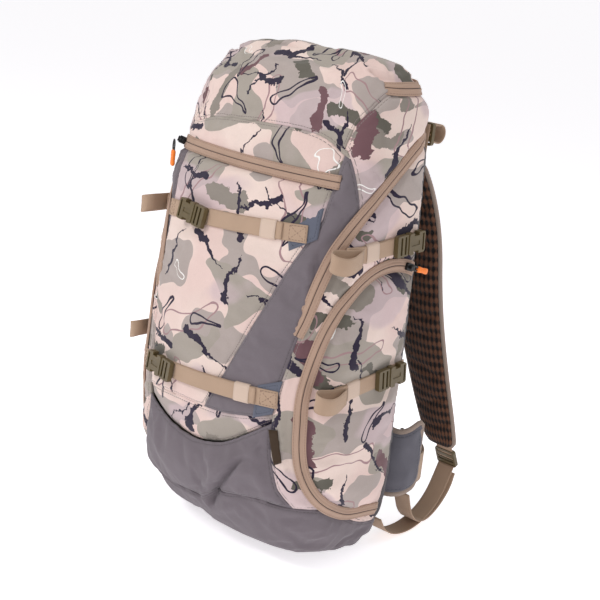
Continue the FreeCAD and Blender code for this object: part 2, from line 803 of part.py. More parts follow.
def side_slider_place(side):
    """The side slider's closed place, near the upper end of its zip's arc."""
    arc = SIDE_ZIP_ARC
    sweep = math.radians(arc["first"] - 5)
    y = arc["y"] + arc["radius"] * math.sin(sweep)
    z = arc["z"] + arc["radius"] * math.cos(sweep)
    rearwards = Vector(0, math.cos(sweep), -math.sin(sweep))
    return side_place(side, y, z, SLIDER_OUT, rearwards)


def build_sliders():
    start = on_front_arc(front_place(0.0, FRONT_ZIP, SLIDER_OUT), FRONT_SLIDER_X)
    exported.append(slider("front_slider", start, across=True))
    exported.append(pull("front_pull", turned(lifted(start, PULL_PIVOT), -90)))
    for name, side in (("left", -1), ("right", 1)):
        place = side_slider_place(side)
        exported.append(slider(f"side_slider_{name}", place))
        exported.append(pull(f"side_pull_{name}", lifted(place, PULL_PIVOT)))
        place = back_place(side * MAIN_SLIDER_X, MAIN_ZIP[-1][1], SLIDER_OUT, Vector(1, 0, 0))
        keep_group(f"main_slider_{name}", slider_with_cord(f"main_{name}", place))
    place = back_place(LID_SLIDER_X, LID_ZIP, SLIDER_OUT, Vector(1, 0, 0))
    keep_group("lid_slider", slider_with_cord("lid", place))


# ---------------------------------------------------------------- harness

# Centre line of the right shoulder strap from its top end down: x, y, z and width.
SHOULDER = [
    (88, 80, 481, 64),
    (92, 103, 440, 68),
    (93, 126, 385, 68),
    (93, 141, 320, 66),
    (96, 156, 262, 64),
    (102, 178, 195, 58),
    (109, 196, 140, 52),
    (115, 208, 102, 42),
]
STERNUM_HEIGHT = 325.0


def shoulder_pad():
    """A curved pad of rectangular section, lofted down its centre line."""
    half = size("pad_thick") / 2
    wires = []
    for index, (x, y, z, width) in enumerate(SHOULDER):
        before = SHOULDER[max(index - 1, 0)]
        after = SHOULDER[min(index + 1, len(SHOULDER) - 1)]
        down = Vector(0, after[1] - before[1], after[2] - before[2])
        down.normalize()
        outward = Vector(0, -down.z, down.y) * half
        across = Vector(width / 2, 0, 0)
        middle = Vector(x, y, z)
        corners = [middle - across - outward, middle + across - outward,
                   middle + across + outward, middle - across + outward]
        wires.append(Part.makePolygon(corners + corners[:1]))
    return Part.makeLoft(wires, True, True)


LOCK_PLACE = (119.0, 216.0, 84.0)
LOCK_TILT = math.radians(27.0)   # the lower ladder locks lean back from upright
# Side view (y, z) of the webbing that runs from the bag's foot to a lower ladder lock.
LOWER_WEBBING = [(78.5, 34), (92, 14), (118, 3.5), (152, 4.5), (184, 18), (204, 40), (211, 62)]


def build_shoulders():
    right = shoulder_pad()
    keep("shoulder_strap_right", right)
    keep("shoulder_strap_left", mirrored(right))
    x, y, z = LOCK_PLACE
    down = Vector(0, math.sin(LOCK_TILT), -math.cos(LOCK_TILT))
    outward = Vector(0, math.cos(LOCK_TILT), math.sin(LOCK_TILT))
    for name, side in (("left", -1), ("right", 1)):
        place = axes_at(Vector(side * x, y, z), down, outward)
        exported.append(ladder_lock(f"shoulder_lock_{name}", place))
    half = size("harness_width") / 2
    webbing = strip(LOWER_WEBBING, size("webbing"), "YZ", x - half, x + half)
    keep("lower_webbing", both_sides(webbing))


STERNUM_DEPTH = 141.0
STERNUM_REACH = (8.0, 59.2)      # x of a sternum strap's inner and outer ends


def build_sternum():
    """The chest strap in two halves, with its buckle in the middle."""
    low = STERNUM_HEIGHT - size("strap_width") / 2
    high = low + size("strap_width")
    back = STERNUM_DEPTH + size("webbing")
    inner, outer = STERNUM_REACH
    right = block((inner, STERNUM_DEPTH, low), (outer, back, high))
    keep("sternum_strap_left", mirrored(right))
    keep("sternum_strap_right", right)
    place = axes_at(Vector(4, back + 1, STERNUM_HEIGHT), Vector(1, 0, 0), Vector(0, 1, 0))
    exported.append(socket("sternum_socket", place))
    exported.append(plug("sternum_plug", place))


LIFTER_PLACE = (117.0, 76.5, 514.0)
# Side view (y, z) of a load lifter's anchor on the bag, and of its spare end's loop.
LIFTER_ANCHOR = [(73.0, 487), (73.0, 502), (74.6, 526)]
LIFTER_TAIL = [(83.2, 504), (98, 500), (108, 512), (102, 526), (83.2, 524)]


def build_load_lifters():
    half = size("harness_width") / 2
    x, y, z = LIFTER_PLACE
    locks = []
    for name, side in (("left", -1), ("right", 1)):
        place = axes_at(Vector(side * x, y, z), Vector(0, 0, 1), Vector(0, 1, 0))
        locks.append(ladder_lock(f"lifter_lock_{name}", place))
    keep_group("load_lifter_locks", locks)
    straps = []
    for path in (LIFTER_ANCHOR, LIFTER_TAIL):
        webbing = strip(path, size("webbing"), "YZ", x - half, x + half)
        straps += both_sides(webbing).Solids
    keep("load_lifter_straps", Part.makeCompound(straps))


# Plan (x, y) of the right hip wing and of the webbing that carries on from it.
HIP_WING = [(97, 86), (124, 87), (141, 97), (147, 118)]
HIP_WING_FOOT = 66.0
HIP_STRAP = [(147, 119.5), (143, 134), (130, 150), (110, 165), (90, 175)]
HIP_STRAP_FOOT = 80.0


def build_hip_belt():
    wing = strip(HIP_WING, size("wing_thick"), "XY", HIP_WING_FOOT,
                 HIP_WING_FOOT + size("wing_height"))
    keep("hip_wing_right", wing)
    keep("hip_wing_left", mirrored(wing))
    top = HIP_STRAP_FOOT + size("belt_width")
    webbing = strip(HIP_STRAP, size("webbing"), "XY", HIP_STRAP_FOOT, top)
    keep("hip_strap_right", webbing)
    keep("hip_strap_left", mirrored(webbing))

    (x0, y0), (x1, y1) = HIP_STRAP[-2:]
    wide = CELL + "belt_buckle_width"
    middle = (HIP_STRAP_FOOT + top) / 2
    off = size("webbing") / 2 + 1.0
    for side in (1, -1):
        run = Vector(side * (x1 - x0), y1 - y0, 0)
        run.normalize()
        outward = Vector(-side * run.y, side * run.x, 0)
        tip = Vector(side * x1, y1, middle) + run * 0.5 + outward * off
        if side > 0:
            exported.append(plug("hip_plug", axes_at(tip, run * -1, outward), wide))
        else:
            exported.append(socket("hip_socket", axes_at(tip, run, outward), wide))


# Back view (x, z) of the haul loop.
HAUL_ARCH = [(-38, 453), (-34, 470), (-22, 478), (22, 478), (34, 470), (38, 453)]


def build_haul_loop():
    keep("haul_loop", strip(HAUL_ARCH, size("haul_thick"), "XZ", 73, 95))


# ---------------------------------------------------------------- build, check and write

def check_and_write():
    doc.recompute()
    for item in doc.Objects:
        if "Invalid" in item.State or "Error" in item.State:
            raise ValueError(f"{item.Label} failed: {item.State}")
    os.makedirs("parts", exist_ok=True)
    for piece in exported:
        shape = piece.Shape
        if shape.isNull() or not shape.isValid() or not shape.Solids:
            raise ValueError(f"{piece.Label} has no valid solid")
        shape.exportStep(os.path.join("parts", f"{piece.Label}.step"))
    print(f"{len(exported)} sub-parts written")


fill_sheet()
build_panels()
build_frame()
build_straps()
build_sliders()
build_shoulders()
build_sternum()
build_load_lifters()
build_hip_belt()
build_haul_loop()
check_and_write()
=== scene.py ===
import math

import bmesh
import bpy
import numpy as np
from mathutils import Matrix, Vector, noise
from mathutils.bvhtree import BVHTree
from mathutils.kdtree import KDTree


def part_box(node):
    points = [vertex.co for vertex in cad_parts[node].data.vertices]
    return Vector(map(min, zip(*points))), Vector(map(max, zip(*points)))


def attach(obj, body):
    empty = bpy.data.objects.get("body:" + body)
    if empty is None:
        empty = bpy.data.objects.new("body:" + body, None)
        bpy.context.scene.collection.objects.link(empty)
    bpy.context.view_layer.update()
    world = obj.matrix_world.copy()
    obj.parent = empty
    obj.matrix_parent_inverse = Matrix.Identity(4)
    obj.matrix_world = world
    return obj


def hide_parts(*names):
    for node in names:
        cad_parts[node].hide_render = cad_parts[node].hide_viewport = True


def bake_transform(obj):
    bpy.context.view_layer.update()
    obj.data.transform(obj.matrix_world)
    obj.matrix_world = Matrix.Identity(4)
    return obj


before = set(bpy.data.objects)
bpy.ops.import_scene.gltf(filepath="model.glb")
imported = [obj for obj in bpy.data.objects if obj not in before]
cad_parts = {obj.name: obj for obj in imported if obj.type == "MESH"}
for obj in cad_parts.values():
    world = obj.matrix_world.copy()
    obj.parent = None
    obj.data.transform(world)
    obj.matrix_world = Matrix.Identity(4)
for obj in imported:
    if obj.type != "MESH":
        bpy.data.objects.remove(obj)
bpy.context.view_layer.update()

# ------------------------------------------------------------------ sizes, in metres
CELL = 0.0034                # edge length of the bag's cloth mesh
AXIS_Y = -0.015              # the bag's skin is measured towards a line that stands at this y
REACH = 0.40                 # how far from that line a measuring ray starts
FOLD_Z = 0.293
FRONT_SEAM = 0.1165          # x of the seam between the front and the sides, above the fold
BACK_SEAM = 0.0578           # y of the seam between the sides and the back
FRONT_ZIP = 0.465            # height of the front pocket's zip
LID_ZIP = 0.568              # height of the lid pocket's zip
WEBBING = 0.0100             # half width of the 20 mm webbing of the compression straps
HARNESS_WEBBING = 0.0125     # and of the 25 mm webbing at the harness
HIP_WEBBING = 0.0185         # and of the hip belt's webbing
THREAD = 0.00035             # radius of the sewing thread
STRAP_THICK = 0.0016
STRAP_OUT = 0.0009           # how far a strap's inner face stands off the bag
SIDES = (("left", -1), ("right", 1))

# Side view (y, z) of seams and zips.
MAIN_ZIP = [(-0.40, 0.293), (-0.099, 0.293), (-0.085, 0.355), (-0.073, 0.394), (-0.051, 0.430),
            (0.036, 0.501), (0.058, 0.515), (0.120, 0.515)]
SIDE_ZIP_ARC = {"y": 0.015, "z": 0.270, "radius": 0.100, "first": 20.0, "last": -58.0}
SIDE_ZIP_TOP = (0.057, 0.361)
SIDE_ZIP_REST = [(-0.081, 0.299), (-0.089, 0.264), (-0.095, 0.225), (-0.095, 0.190),
                 (-0.092, 0.160), (-0.086, 0.133), (-0.073, 0.108), (-0.049, 0.087),
                 (-0.006, 0.066), (0.057, 0.060)]
LID_SIDE_SEAM = [(-0.30, 0.489), (-0.058, 0.489), (-0.048, 0.520), (-0.036, 0.541),
                 (-0.008, 0.564), (0.010, LID_ZIP), (0.30, LID_ZIP)]
WEDGE_BACK_SEAM = [(-0.054, 0.60), (-0.054, 0.489), (-0.051, 0.440), (-0.044, 0.380)]
# Front view (x, z) of seams and hems.
LID_FRONT_SEAM = [(-0.20, 0.489), (-0.122, 0.489), (-0.082, 0.504), (-0.003, 0.511), (0.054, 0.513),
                  (0.094, 0.508), (0.122, 0.489), (0.20, 0.489)]
CAMO_EDGE = [(0.150, 0.490), (0.127, 0.458), (0.115, 0.418), (0.090, 0.368), (0.066, 0.309),
             (0.028, 0.225), (-0.010, 0.150)]
POCKET_EDGE = [(-0.20, 0.174), (-0.116, 0.174), (-0.040, 0.180), (0.030, 0.181),
               (0.080, 0.190), (0.116, 0.204), (0.20, 0.204)]
BOOT_HEM = [(-0.20, 0.168), (-0.116, 0.168), (-0.070, 0.143), (-0.010, 0.133), (0.040, 0.145),
            (0.082, 0.174), (0.116, 0.198), (0.20, 0.198)]
BASE_SEAM = [(-0.150, 0.055), (-0.062, 0.052), (-0.009, 0.058), (0.030, 0.080),
             (0.090, 0.088), (0.138, 0.086)]
BASE_SEAM_BACK = 0.042       # height of the base's seam across the back
# Front view (x, z) of the deep fold in the boot pocket.
PLEAT = [(0.080, 0.142), (0.066, 0.134), (0.049, 0.112), (0.027, 0.087), (0.012, 0.060)]
# The seam between the front and the sides, as (z, x) from the floor up.
CORNER_SEAM = [(0.0, 0.140), (0.069, 0.135), (0.109, 0.112), (0.144, 0.103), (0.204, 0.101),
               (0.235, 0.105), (0.292, FRONT_SEAM), (0.60, FRONT_SEAM)]


def side_zip_path():
    """Side view of a side pocket's zip, from its upper back end round to its lower back end."""
    arc = SIDE_ZIP_ARC
    points = [(0.09, SIDE_ZIP_TOP[1]), SIDE_ZIP_TOP]
    for angle in np.radians(np.linspace(arc["first"], arc["last"], 12)):
        points.append((arc["y"] + arc["radius"] * math.sin(angle),
                       arc["z"] + arc["radius"] * math.cos(angle)))
    return points + SIDE_ZIP_REST + [(0.09, SIDE_ZIP_REST[-1][1])]


# ------------------------------------------------------------------ small helpers

def unit(rows):
    """Each row scaled to a length of one."""
    return rows / np.linalg.norm(rows, axis=1)[:, None]


def lengths_along(points):
    """How far along a path each of its points lies."""
    return np.concatenate([[0], np.cumsum(np.linalg.norm(np.diff(points, axis=0), axis=1))])


def repeated(vector, count):
    """The same vector in every row."""
    return np.tile(np.array(vector, float), (count, 1))


# ------------------------------------------------------------------ fields over the bag
# A field takes an array of points and gives a number for each: a seam is where it is zero.

def soft_step(values, low, high):
    """0 below low, 1 above high and a smooth curve between."""
    share = np.clip((values - low) / (high - low), 0, 1)
    return share * share * (3 - 2 * share)


def rounded(path, reach=0.010):
    """The same path with its corners rounded off."""
    path = np.array(path, float)
    for _ in range(3):
        ends = [path[:1]]
        for a, b in zip(path, path[1:]):
            length = np.linalg.norm((b - a)[:2]) + 1e-9
            share = min(0.25, reach / length)
            ends.append(np.array([a + (b - a) * share, b - (b - a) * share]))
        path = np.vstack(ends + [path[-1:]])
    return path


def line_field(path, first, second):
    """Distance from a path seen along the remaining axis, positive on the path's left."""
    path = rounded(path)
    start, step = path[:-1], np.diff(path, axis=0)
    length = (step ** 2).sum(1)

    def field(points):
        spot = points[:, [first, second]][:, None, :] - start[None]
        share = np.clip((spot * step).sum(2) / length, 0, 1)
        gap = spot - share[..., None] * step
        away = (gap ** 2).sum(2)
        near = away.argmin(1)
        rows = np.arange(len(points))
        turn = step[near, 0] * spot[rows, near, 1] - step[near, 1] * spot[rows, near, 0]
        return np.sqrt(away[rows, near]) * np.where(turn < 0, -1.0, 1.0)

    return field


main_zip = line_field(MAIN_ZIP, 1, 2)
side_zip = line_field(side_zip_path(), 1, 2)
lid_side = line_field(LID_SIDE_SEAM, 1, 2)
wedge_back = line_field(WEDGE_BACK_SEAM, 1, 2)
lid_front = line_field(LID_FRONT_SEAM, 0, 2)
camo_edge = line_field(CAMO_EDGE, 0, 2)
pocket_edge = line_field(POCKET_EDGE, 0, 2)
boot_hem = line_field(BOOT_HEM, 0, 2)


def base_seam(points):
    """Height above the seam round the base."""
    across, heights = np.array(BASE_SEAM).T
    front = np.interp(points[:, 0], across, heights)
    share = soft_step(points[:, 1], -0.075, 0.055)
    return points[:, 2] - front * (1 - share) - BASE_SEAM_BACK * share


def corner_seam(points):
    """How far outside the seam between the front and the sides a point lies."""
    heights, widths = np.array(CORNER_SEAM).T
    return np.abs(points[:, 0]) - np.interp(points[:, 2], heights, widths)


def level(height):
    return lambda points: points[:, 2] - height


def on_front(points):
    """Whether each point is on the front, between its two corner seams."""
    return (points[:, 1] < -0.02) & (corner_seam(points) < 0)


def in_front_strip(points):
    """The side's strip ahead of the wedge's back seam, above the main zip."""
    return ~on_front(points) & (main_zip(points) > 0) & (wedge_back(points) < 0)


# ------------------------------------------------------------------ the skin, measured from the frame

SKIN_NODES = ["base_panel", "back_panel", "side_panel_left", "side_panel_right",
              "side_pocket_left", "side_pocket_right", "side_zip_tapes", "main_zip_tape_lower",
              "main_zip_tape_upper", "boot_pocket", "front_pocket_lower", "front_pocket_upper",
              "lid_shell", "front_zip_tape", "lid_zip_tape"]


def joined_tree(names):
    """One search tree over several CAD nodes."""
    points, faces = [], []
    for name in names:
        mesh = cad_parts[name].data
        faces += [[len(points) + i for i in face.vertices] for face in mesh.polygons]
        points += [vert.co.copy() for vert in mesh.vertices]
    return BVHTree.FromPolygons(points, faces)


def smooth_rows(grid, passes, around):
    """Evens out a grid of numbers, along its rows when around is True, else along its columns."""
    for _ in range(passes):
        if around:
            grid = (np.roll(grid, 1, 1) + 2 * grid + np.roll(grid, -1, 1)) / 4
        else:
            middle = (grid[:-2] + 2 * grid[1:-1] + grid[2:]) / 4
            grid = np.vstack([grid[:1], middle, grid[-1:]])
    return grid


def axis_at(height):
    """Where, in y, the line that the skin is measured towards stands; it leans back at the top."""
    return AXIS_Y + 0.038 * soft_step(height, 0.46, 0.585)


def radius_grid(tree, heights, angles):
    """Distance from the axis to the skin, with holes in the frame filled from above and below."""
    grid = np.full((len(heights), len(angles)), np.nan)
    for column, angle in enumerate(angles):
        way = Vector((math.sin(angle), -math.cos(angle), 0))
        for row, height in enumerate(heights):
            start = Vector((0, axis_at(height), height)) + way * REACH
            hit = tree.ray_cast(start, -way, REACH - 0.02)
            if hit[0] is not None and hit[1].dot(way) > 0.15:
                grid[row, column] = REACH - hit[3]
        known = ~np.isnan(grid[:, column])
        grid[:, column] = np.interp(heights, heights[known], grid[known, column])
    return grid


def measure_skin():
    """The bag's outer surface as a grid of points, rows going up, columns going round."""
    tree = joined_tree(SKIN_NODES)
    top = max(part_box(name)[1].z for name in SKIN_NODES)
    fine = np.concatenate([np.arange(0.001, 0.03, 0.001), np.arange(0.03, 0.57, 0.004),
                           np.arange(0.57, top - 0.0005, 0.001)])
    front = radius_grid(tree, fine, np.array([0.0, math.pi / 2])).mean(1)
    along = np.concatenate([[0], np.cumsum(np.hypot(np.diff(front), np.diff(fine)))])
    rows = int(along[-1] / CELL)
    heights = np.interp(np.linspace(0, along[-1], rows), along, fine)

    every = np.linspace(-math.pi, math.pi, 721)[:-1]
    ring = radius_grid(tree, np.array([0.28, 0.30]), every)[1]
    x, y = ring * np.sin(every), ring * np.cos(every)
    around = np.concatenate([[0], np.cumsum(np.hypot(np.diff(x), np.diff(y)))])
    angles = np.interp(np.linspace(0, around[-1], int(around[-1] / CELL)), around, every)[:-1]
    radius = radius_grid(tree, heights, angles)
    radius = smooth_rows(smooth_rows(radius, 10, False), 4, True)
    grid = np.zeros((len(heights), len(angles), 3))
    grid[..., 0] = radius * np.sin(angles)
    grid[..., 1] = axis_at(heights)[:, None] - radius * np.cos(angles)
    grid[..., 2] = heights[:, None]
    return grid


def closed_rows(ring, height, rows, rise):
    """Rows that close the skin over a ring, rising a little towards the middle."""
    middle = ring.mean(0)
    made = []
    for share in np.linspace(0, 1, rows + 2)[1:-1]:
        row = ring + (middle - ring) * share
        row[:, 2] = height + rise * math.sin(share * math.pi / 2)
        made.append(row)
    return made


def build_skin():
    """A mesh of the whole bag with cloth coordinates, before it is cut into panels."""
    grid = measure_skin()
    bottom = closed_rows(grid[0], 0.0006, 22, 0.0)
    top = closed_rows(grid[-1], grid[-1, 0, 2] + 0.0012, 20, 0.003)
    grid = np.concatenate([np.array(bottom[::-1]), grid, np.array(top)])
    rows, columns = grid.shape[:2]
    up_step = np.linalg.norm(np.diff(grid, axis=0), axis=2)
    along = np.vstack([np.zeros(columns), np.cumsum(up_step, axis=0)])
    along -= along[np.abs(grid[:, 0, 2] - 0.3).argmin()]
    round_step = np.linalg.norm(np.roll(grid, -1, 1) - grid, axis=2)
    around = np.hstack([np.zeros((rows, 1)), np.cumsum(round_step, axis=1)])
    around -= around[:, columns // 2][:, None]

    mesh = bmesh.new()
    verts = [[mesh.verts.new(point) for point in row] for row in grid]
    cloth = mesh.loops.layers.uv.new("cloth")
    for i in range(rows - 1):
        for j in range(columns):
            k = (j + 1) % columns
            face = mesh.faces.new((verts[i][j], verts[i][k], verts[i + 1][k], verts[i + 1][j]))
            corners = ((i, j), (i, j + 1), (i + 1, j + 1), (i + 1, j))
            for loop, (row, column) in zip(face.loops, corners):
                loop[cloth].uv = (around[row, column], along[row, column % columns])
    close_ring(mesh, verts[0][::-1])
    close_ring(mesh, verts[-1])
    mesh.normal_update()
    return mesh


def close_ring(mesh, ring):
    """Fills the small hole left in the middle of the bag's top or foot."""
    middle = mesh.verts.new(sum((vert.co for vert in ring), Vector()) / len(ring))
    for first, second in zip(ring, ring[1:] + ring[:1]):
        mesh.faces.new((first, second, middle))


def mesh_points(mesh):
    return np.array([vert.co for vert in mesh.verts], float)


def cut(mesh, field, where=None):
    """Splits the mesh's faces along the line where a field is zero."""
    near = 0.00025      # a point this close to the line counts as on it
    points = mesh_points(mesh)
    values = field(points)
    allowed = np.ones(len(points), bool) if where is None else where(points)
    mesh.verts.index_update()
    on_line = {vert for vert in mesh.verts if abs(values[vert.index]) < near}
    crossed = []
    for edge in mesh.edges:
        a, b = edge.verts
        if a in on_line or b in on_line or not (allowed[a.index] or allowed[b.index]):
            continue
        if values[a.index] * values[b.index] < 0:
            crossed.append((edge, a, values[a.index] / (values[a.index] - values[b.index])))
    touched = {face for vert in on_line for face in vert.link_faces}
    for edge, start, share in crossed:
        made = bmesh.utils.edge_split(edge, start, share)[1]
        on_line.add(made)
        touched.update(made.link_faces)
    # in the mesh's own order, because a set's order changes from run to run
    for face in [face for face in mesh.faces if face in touched]:
        marks = [vert for vert in face.verts if vert in on_line]
        if len(marks) == 2 and not any(edge.other_vert(marks[0]) is marks[1]
                                       for edge in marks[0].link_edges):
            bmesh.utils.face_split(face, marks[0], marks[1])


def cut_panels(mesh):
    """Every seam of the bag, cut into its mesh."""
    def front(points):
        return (points[:, 1] < -0.02) & (np.abs(points[:, 0]) < 0.150)

    def sides(points):
        return ~on_front(points)

    def upper_front(points):
        return front(points) & ((points[:, 2] > 0.455) | (points[:, 0] < 0))

    cut(mesh, corner_seam, lambda p: (p[:, 1] < -0.02) & (
        (p[:, 2] < 0.297) | ((p[:, 2] > 0.405) & (p[:, 2] < 0.50)) | (p[:, 0] < 0)))
    cut(mesh, main_zip, lambda p: sides(p) & (p[:, 2] > 0.28))
    cut(mesh, side_zip, lambda p: (np.abs(p[:, 0]) > 0.08) & (p[:, 1] < 0.062))
    cut(mesh, lambda p: p[:, 1] - BACK_SEAM, lambda p: (p[:, 2] < 0.52) & (p[:, 2] > 0.05))
    cut(mesh, lid_side, lambda p: sides(p) & (p[:, 2] > 0.48))
    cut(mesh, wedge_back, lambda p: sides(p) & (main_zip(p) > -0.005) & (p[:, 2] < 0.50))
    cut(mesh, level(FRONT_ZIP), lambda p: (p[:, 1] < -0.03) & (p[:, 0] < 0.127))
    cut(mesh, lid_front, upper_front)
    cut(mesh, camo_edge, lambda p: front(p) & (p[:, 0] > -0.02))
    cut(mesh, pocket_edge, front)
    cut(mesh, boot_hem, front)
    cut(mesh, base_seam)


def panel_names(points):
    """Which panel each point of the skin belongs to."""
    front = on_front(points)
    above = main_zip(points) > 0
    right = points[:, 0] > 0
    strip = in_front_strip(points)
    high = points[:, 2] > FRONT_ZIP
    names = np.full(len(points), "back_panel", dtype=object)
    side = ~front & ~above & (points[:, 1] < BACK_SEAM)
    inside = side_zip(points) > 0
    for word, here in (("right", right), ("left", ~right)):
        names[side & here & inside] = f"side_pocket_{word}"
        names[side & here & ~inside] = f"side_panel_{word}"
        names[strip & here] = f"wedge_{word}"
    names[~front & above & ~strip] = "lid_sides"
    names[(front | (strip & ~right)) & high] = "lid_front"
    over_front = (lid_front(points) > 0) & (front | strip)
    over_side = (lid_side(points) > 0) & ~front
    names[(over_front | over_side) & (points[:, 2] > 0.48)] = "lid_top"
    middle = front & ~high
    names[middle] = "front_camo"
    names[middle & (camo_edge(points) > 0)] = "wedge_right"
    names[middle & (pocket_edge(points) < 0)] = "pocket_mouth"
    names[middle & (boot_hem(points) < 0)] = "boot_pocket"
    names[base_seam(points) < 0] = "base"
    return names


# ------------------------------------------------------------------ meshes

def to_object(name, mesh):
    """Turns a finished bmesh into an object in the scene."""
    data = bpy.data.meshes.new(name)
    mesh.to_mesh(data)
    mesh.free()
    made = bpy.data.objects.new(name, data)
    bpy.context.scene.collection.objects.link(made)
    return made


def sheet(name, rows):
    """An open sheet from rows of points, with cloth coordinates taken from the front view."""
    mesh = bmesh.new()
    layer = mesh.loops.layers.uv.new("cloth")
    verts = [[mesh.verts.new(point) for point in row] for row in rows]
    for lower, upper in zip(verts, verts[1:]):
        for i in range(len(lower) - 1):
            face = mesh.faces.new((lower[i], lower[i + 1], upper[i + 1], upper[i]))
            face.smooth = True
            for loop in face.loops:
                loop[layer].uv = (loop.vert.co.x, loop.vert.co.z)
    mesh.normal_update()
    if next(iter(mesh.faces)).normal.y > 0:
        bmesh.ops.reverse_faces(mesh, faces=mesh.faces)
    return to_object(name, mesh)


def take_faces(skin, name, faces):
    """A new object from some of the skin's faces, with their cloth coordinates."""
    source = skin.loops.layers.uv["cloth"]
    made = bmesh.new()
    layer = made.loops.layers.uv.new("cloth")
    twins = {}
    for face in faces:
        for vert in face.verts:
            if vert not in twins:
                twins[vert] = made.verts.new(vert.co)
        copy = made.faces.new([twins[vert] for vert in face.verts])
        for old, new in zip(face.loops, copy.loops):
            new[layer].uv = old[source].uv
        copy.smooth = True
    made.normal_update()
    return to_object(name, made)


def read_vertices(made, what):
    values = np.zeros(len(made.data.vertices) * 3)
    made.data.vertices.foreach_get(what, values)
    return values.reshape(-1, 3)


def points_of(made):
    return read_vertices(made, "co")


def normals_of(made):
    return read_vertices(made, "normal")


def set_points(made, points):
    made.data.vertices.foreach_set("co", np.asarray(points, np.float32).ravel())
    made.data.update()


def tree_of(points):
    tree = KDTree(len(points))
    for index, point in enumerate(points):
        tree.insert(point, index)
    tree.balance()
    return tree


def distances(points, targets):
    """From each point, the distance to the nearest of the targets."""
    tree = tree_of(targets)
    return np.array([tree.find(point)[2] for point in points])


def border_points(made):
    """Points along the open border of a sheet, filled in between its vertices."""
    counts = {}
    for polygon in made.data.polygons:
        for key in polygon.edge_keys:
            counts[key] = counts.get(key, 0) + 1
    points = points_of(made)
    filled = []
    for (a, b), uses in counts.items():
        if uses == 1:
            filled += [points[a], points[b], (points[a] + points[b]) / 2]
    return filled


def lumps(points, scale, seed):
    """Soft random numbers, about -1 to 1, that change over a length."""
    shift = Vector((seed * 7.3, seed * 3.1, seed * 5.7))
    return np.array([noise.noise(Vector(point) / scale + shift) for point in points])


def set_attribute(made, name, values):
    """Numbers at a piece's vertices, which its material can read."""
    attribute = made.data.attributes.new(name, "FLOAT", "POINT")
    attribute.data.foreach_set("value", np.asarray(values, np.float32))


def apply_modifiers(made):
    """Bakes a piece's modifiers into its mesh."""
    depsgraph = bpy.context.evaluated_depsgraph_get()
    mesh = bpy.data.meshes.new_from_object(made.evaluated_get(depsgraph), depsgraph=depsgraph)
    made.modifiers.clear()
    made.data = mesh
    return made


def simulate(made, pinned, pressure, growth, frames=20, stiffness=8.0):
    """Lets a piece swell and wrinkle as cloth, held where pinned is True."""
    rest = points_of(made)
    group = made.vertex_groups.new(name="pin")
    for index in np.flatnonzero(pinned):
        group.add([int(index)], 1.0, "REPLACE")
    cloth = made.modifiers.new("cloth", "CLOTH")
    settings = cloth.settings
    settings.quality = 5
    settings.mass = 0.25
    settings.tension_stiffness = settings.compression_stiffness = stiffness
    settings.shear_stiffness = stiffness * 0.5
    settings.bending_stiffness = 0.3
    settings.vertex_group_mass = "pin"
    settings.shrink_min = settings.shrink_max = -growth
    settings.use_pressure = True
    settings.uniform_pressure_force = pressure
    settings.effector_weights.gravity = 0.0
    cloth.collision_settings.use_collision = False
    cloth.point_cache.frame_start = 1
    cloth.point_cache.frame_end = frames
    scene = bpy.context.scene
    for step in range(1, frames + 1):
        scene.frame_set(step)
    apply_modifiers(made)
    scene.frame_set(1)
    made.vertex_groups.clear()
    return points_of(made) - rest


def solidify(made, thick, rim=None):
    """Gives a sheet its thickness inwards; rim is the material number of its inner side."""
    modifier = made.modifiers.new("thickness", "SOLIDIFY")
    modifier.thickness = thick
    modifier.offset = -1.0
    modifier.use_even_offset = False
    if rim is not None:
        modifier.material_offset = rim
    return apply_modifiers(made)


def ride_and_replace(made, body, nodes):
    """A piece rides on one body and stands for CAD nodes, when any are given."""
    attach(made, body)
    if nodes:
        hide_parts(*nodes)
    return made


# ------------------------------------------------------------------ shader building

class Value:
    """A number in a material's node tree, with arithmetic."""

    def __init__(self, tree, socket):
        self.tree = tree
        self.socket = socket

    def math(self, operation, *others):
        made = self.tree.nodes.new("ShaderNodeMath")
        made.operation = operation
        for slot, item in zip(made.inputs, (self, *others)):
            connect(self.tree, slot, item)
        return Value(self.tree, made.outputs[0])

    def __add__(self, other):
        return self.math("ADD", other)

    def __sub__(self, other):
        return self.math("SUBTRACT", other)

    def __mul__(self, other):
        return self.math("MULTIPLY", other)

    def above(self, limit):
        return self.math("GREATER_THAN", limit)

    def below(self, limit):
        return self.math("LESS_THAN", limit)

    def size(self):
        return self.math("ABSOLUTE")

    def wave(self, length):
        """A sine of this value with a wavelength."""
        return (self * (2 * math.pi / length)).math("SINE")

    def ramp(self, low, high):
        """0 at low, 1 at high and a smooth curve between."""
        made = self.tree.nodes.new("ShaderNodeMapRange")
        made.interpolation_type = "SMOOTHSTEP"
        for name, item in (("Value", self), ("From Min", low), ("From Max", high)):
            connect(self.tree, made.inputs[name], item)
        return Value(self.tree, made.outputs[0])


def connect(tree, slot, item):
    """Feeds a slot of a node with a value, a socket or a plain number."""
    if isinstance(item, Value):
        tree.links.new(item.socket, slot)
    elif isinstance(item, bpy.types.NodeSocket):
        tree.links.new(item, slot)
    else:
        slot.default_value = item


